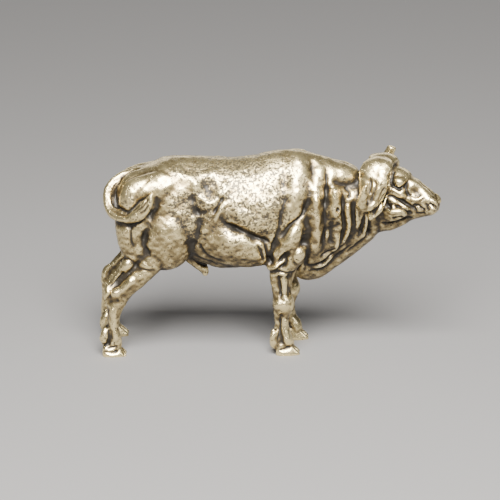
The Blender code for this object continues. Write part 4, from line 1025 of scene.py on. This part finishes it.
def antique_brass():
    """Rubbed brass over a dark patina that stays in the hollows and the casting's pits, with painted shade
    where the skin sees little of its surroundings or faces down.
    """
    material = bpy.data.materials.new("antique_brass")
    material.use_nodes = True
    tree = material.node_tree
    shader = tree.nodes["Principled BSDF"]
    fine, broad, sky, pressed, rough = (
        value_node(tree, name) for name in ("fine", "broad", "sky", "pressed", "rough")
    )
    mottle = noise(tree, 0.0012, 4, 0.6)
    grit = noise(tree, 0.00030, 3, 0.65)
    speck = noise(tree, 0.00042, 1, 0.5)

    # How dark the point is painted, from 0 on the swellings up: the patina of its hollows and pits, plus
    # painted shade where it sees little of its surroundings or faces down.
    patina_and_shade = maths(tree, "MULTIPLY_ADD", fine, 1.1, -0.55)
    patina_and_shade = maths(tree, "ADD", patina_and_shade, maths(tree, "MULTIPLY_ADD", broad, 0.7, -0.35))
    # Painted shade: skin that sees little of its surroundings, or faces down, is darkened; skin open all
    # round is lightened a little, as painted light.
    patina_and_shade = maths(tree, "ADD", patina_and_shade, maths(tree, "MULTIPLY_ADD", sky, -0.6, 0.46))
    patina_and_shade = maths(tree, "MULTIPLY_ADD", pressed, 0.3, patina_and_shade)
    patina_and_shade = maths(tree, "MULTIPLY_ADD", rough, -0.08, patina_and_shade)
    patina_and_shade = maths(tree, "ADD", patina_and_shade, maths(tree, "MULTIPLY_ADD", mottle, 0.24, -0.12))
    grain = maths(tree, "MULTIPLY_ADD", rough, 0.8, 0.4)
    patina_and_shade = maths(tree, "MULTIPLY_ADD", maths(tree, "SUBTRACT", grit, 0.5), grain, patina_and_shade)

    # The pits lie thickest where the casting is rough, and in its hollows.
    level = maths(tree, "MULTIPLY_ADD", rough, -0.165, 0.655)
    level = maths(tree, "SUBTRACT", level, maths(tree, "MULTIPLY", ramp(tree, patina_and_shade, 0.0, 0.5), 0.09))
    pits = ramp(tree, maths(tree, "SUBTRACT", speck, level), 0.0, 0.035)

    bright, warm = (0.95, 0.79, 0.42, 1), (0.30, 0.225, 0.11, 1)
    brown, black = (0.075, 0.062, 0.045, 1), (0.022, 0.019, 0.015, 1)
    # The colour darkens from rubbed brass to patina brown and black, with the patina and with the painted
    # shade alike.
    colour = blend(tree, ramp(tree, patina_and_shade, -0.42, 0.10), bright, warm)
    colour = blend(tree, ramp(tree, patina_and_shade, -0.05, 0.40), colour, brown)
    colour = blend(tree, ramp(tree, patina_and_shade, 0.30, 0.85), colour, black)
    colour = blend(tree, maths(tree, "MULTIPLY", pits, 0.9), colour, black)
    join(tree, shader.inputs["Base Color"], colour)
    # The patina, the pits and the painted shade also take away some of the metal's shine.
    stain_and_shade = maths(tree, "MAXIMUM", ramp(tree, patina_and_shade, 0.3, 0.9), pits)
    join(tree, shader.inputs["Metallic"], maths(tree, "MULTIPLY_ADD", stain_and_shade, -0.5, 0.95))
    shine = maths(tree, "MULTIPLY_ADD", ramp(tree, patina_and_shade, -0.3, 0.5), 0.16, 0.26)
    join(tree, shader.inputs["Roughness"], maths(tree, "MULTIPLY_ADD", rough, 0.07, shine))

    height = maths(tree, "MULTIPLY_ADD", pits, -1.0, maths(tree, "MULTIPLY", mottle, 0.8))
    height = maths(tree, "MULTIPLY_ADD", grit, 0.5, height)
    bump = tree.nodes.new("ShaderNodeBump")
    bump.inputs["Strength"].default_value = 0.4
    bump.inputs["Distance"].default_value = 0.00007
    join(tree, bump.inputs["Height"], height)
    tree.links.new(bump.outputs["Normal"], shader.inputs["Normal"])
    return material


def make_bull():
    skin = figure_skin(CLAY_GRAIN)
    cut_soles(skin)
    skin = thinned(skin, TRIANGLES)
    unit, shift = fitted(skin)
    finish_values(skin, unit, shift)
    skin.shade_smooth()
    skin.materials.append(antique_brass())
    bull = mesh_object("brass_bull", skin)
    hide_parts("bull_figure")
    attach(bull, "root")
    return unit, shift


# The lights look at the middle of the figure.
LIGHTS_AIM = (0, 0, 0.018)

# The photograph's view of the figure, in its pixels. It is 500 pixels square.
PHOTO_SIZE = 500
PIXELS_PER_PART = 3.4
RUMP_PIXEL = 98.5
GROUND_PIXEL = 343.6
VIEW_UP = math.radians(17)
VIEW_AWAY = 0.6
FILM = 36.0


def add_camera(unit, shift):
    """The camera looks level with the bull's side, from a little above."""
    lens = bpy.data.cameras.new("camera")
    camera = bpy.data.objects.new("camera", lens)
    bpy.context.scene.collection.objects.link(camera)
    middle = PHOTO_SIZE / 2
    target = Vector(
        (
            (middle - RUMP_PIXEL) / PIXELS_PER_PART * unit + shift[0],
            shift[1],
            (GROUND_PIXEL - middle) / (PIXELS_PER_PART * math.cos(VIEW_UP)) * unit + shift[2],
        )
    )
    view = Vector((0, math.cos(VIEW_UP), -math.sin(VIEW_UP)))
    camera.location = target - view * VIEW_AWAY
    camera.rotation_euler = view.to_track_quat("-Z", "Y").to_euler()
    lens.sensor_width = FILM
    lens.lens = FILM * VIEW_AWAY / (PHOTO_SIZE / PIXELS_PER_PART * unit)
    lens.clip_start = 0.01
    bpy.context.scene.camera = camera


def add_light(name, place, size, power, colour=(1, 1, 1), height=None):
    lamp = bpy.data.lights.new(name, "AREA")
    lamp.shape = "RECTANGLE"
    lamp.size, lamp.size_y = size, height or size
    lamp.energy = power
    lamp.color = colour
    light = bpy.data.objects.new(name, lamp)
    bpy.context.scene.collection.objects.link(light)
    light.location = place
    light.rotation_euler = (Vector(LIGHTS_AIM) - Vector(place)).to_track_quat("-Z", "Y").to_euler()


FLOOR_REACH = 2.0


def add_floor():
    mesh = bpy.data.meshes.new("floor")
    corners = [(x * FLOOR_REACH, y * FLOOR_REACH, 0) for x, y in ((-1, -1), (1, -1), (1, 1), (-1, 1))]
    mesh.from_pydata(corners, [], [(0, 1, 2, 3)])
    material = bpy.data.materials.new("floor")
    material.use_nodes = True
    shader = material.node_tree.nodes["Principled BSDF"]
    shader.inputs["Base Color"].default_value = (0.17, 0.169, 0.173, 1)
    shader.inputs["Roughness"].default_value = 0.85
    mesh.materials.append(material)
    floor = mesh_object("floor", mesh)


def add_studio():
    world = bpy.data.worlds.new("studio")
    world.use_nodes = True
    backdrop = world.node_tree.nodes["Background"]
    backdrop.inputs["Color"].default_value = (0.60, 0.60, 0.64, 1)
    backdrop.inputs["Strength"].default_value = 0.035
    bpy.context.scene.world = world
    add_light("key", (0.0, -0.24, 0.32), 0.25, 9.4, (1.0, 0.97, 0.91), 0.28)
    add_light("side", (0.36, -0.22, 0.22), 0.14, 0.3, (0.97, 0.98, 1.0))
    add_light("back", (0.02, 0.42, 0.15), 0.50, 0.45, (1.0, 0.97, 0.92), 0.14)


unit, shift = make_bull()
add_camera(unit, shift)
add_floor()
add_studio()
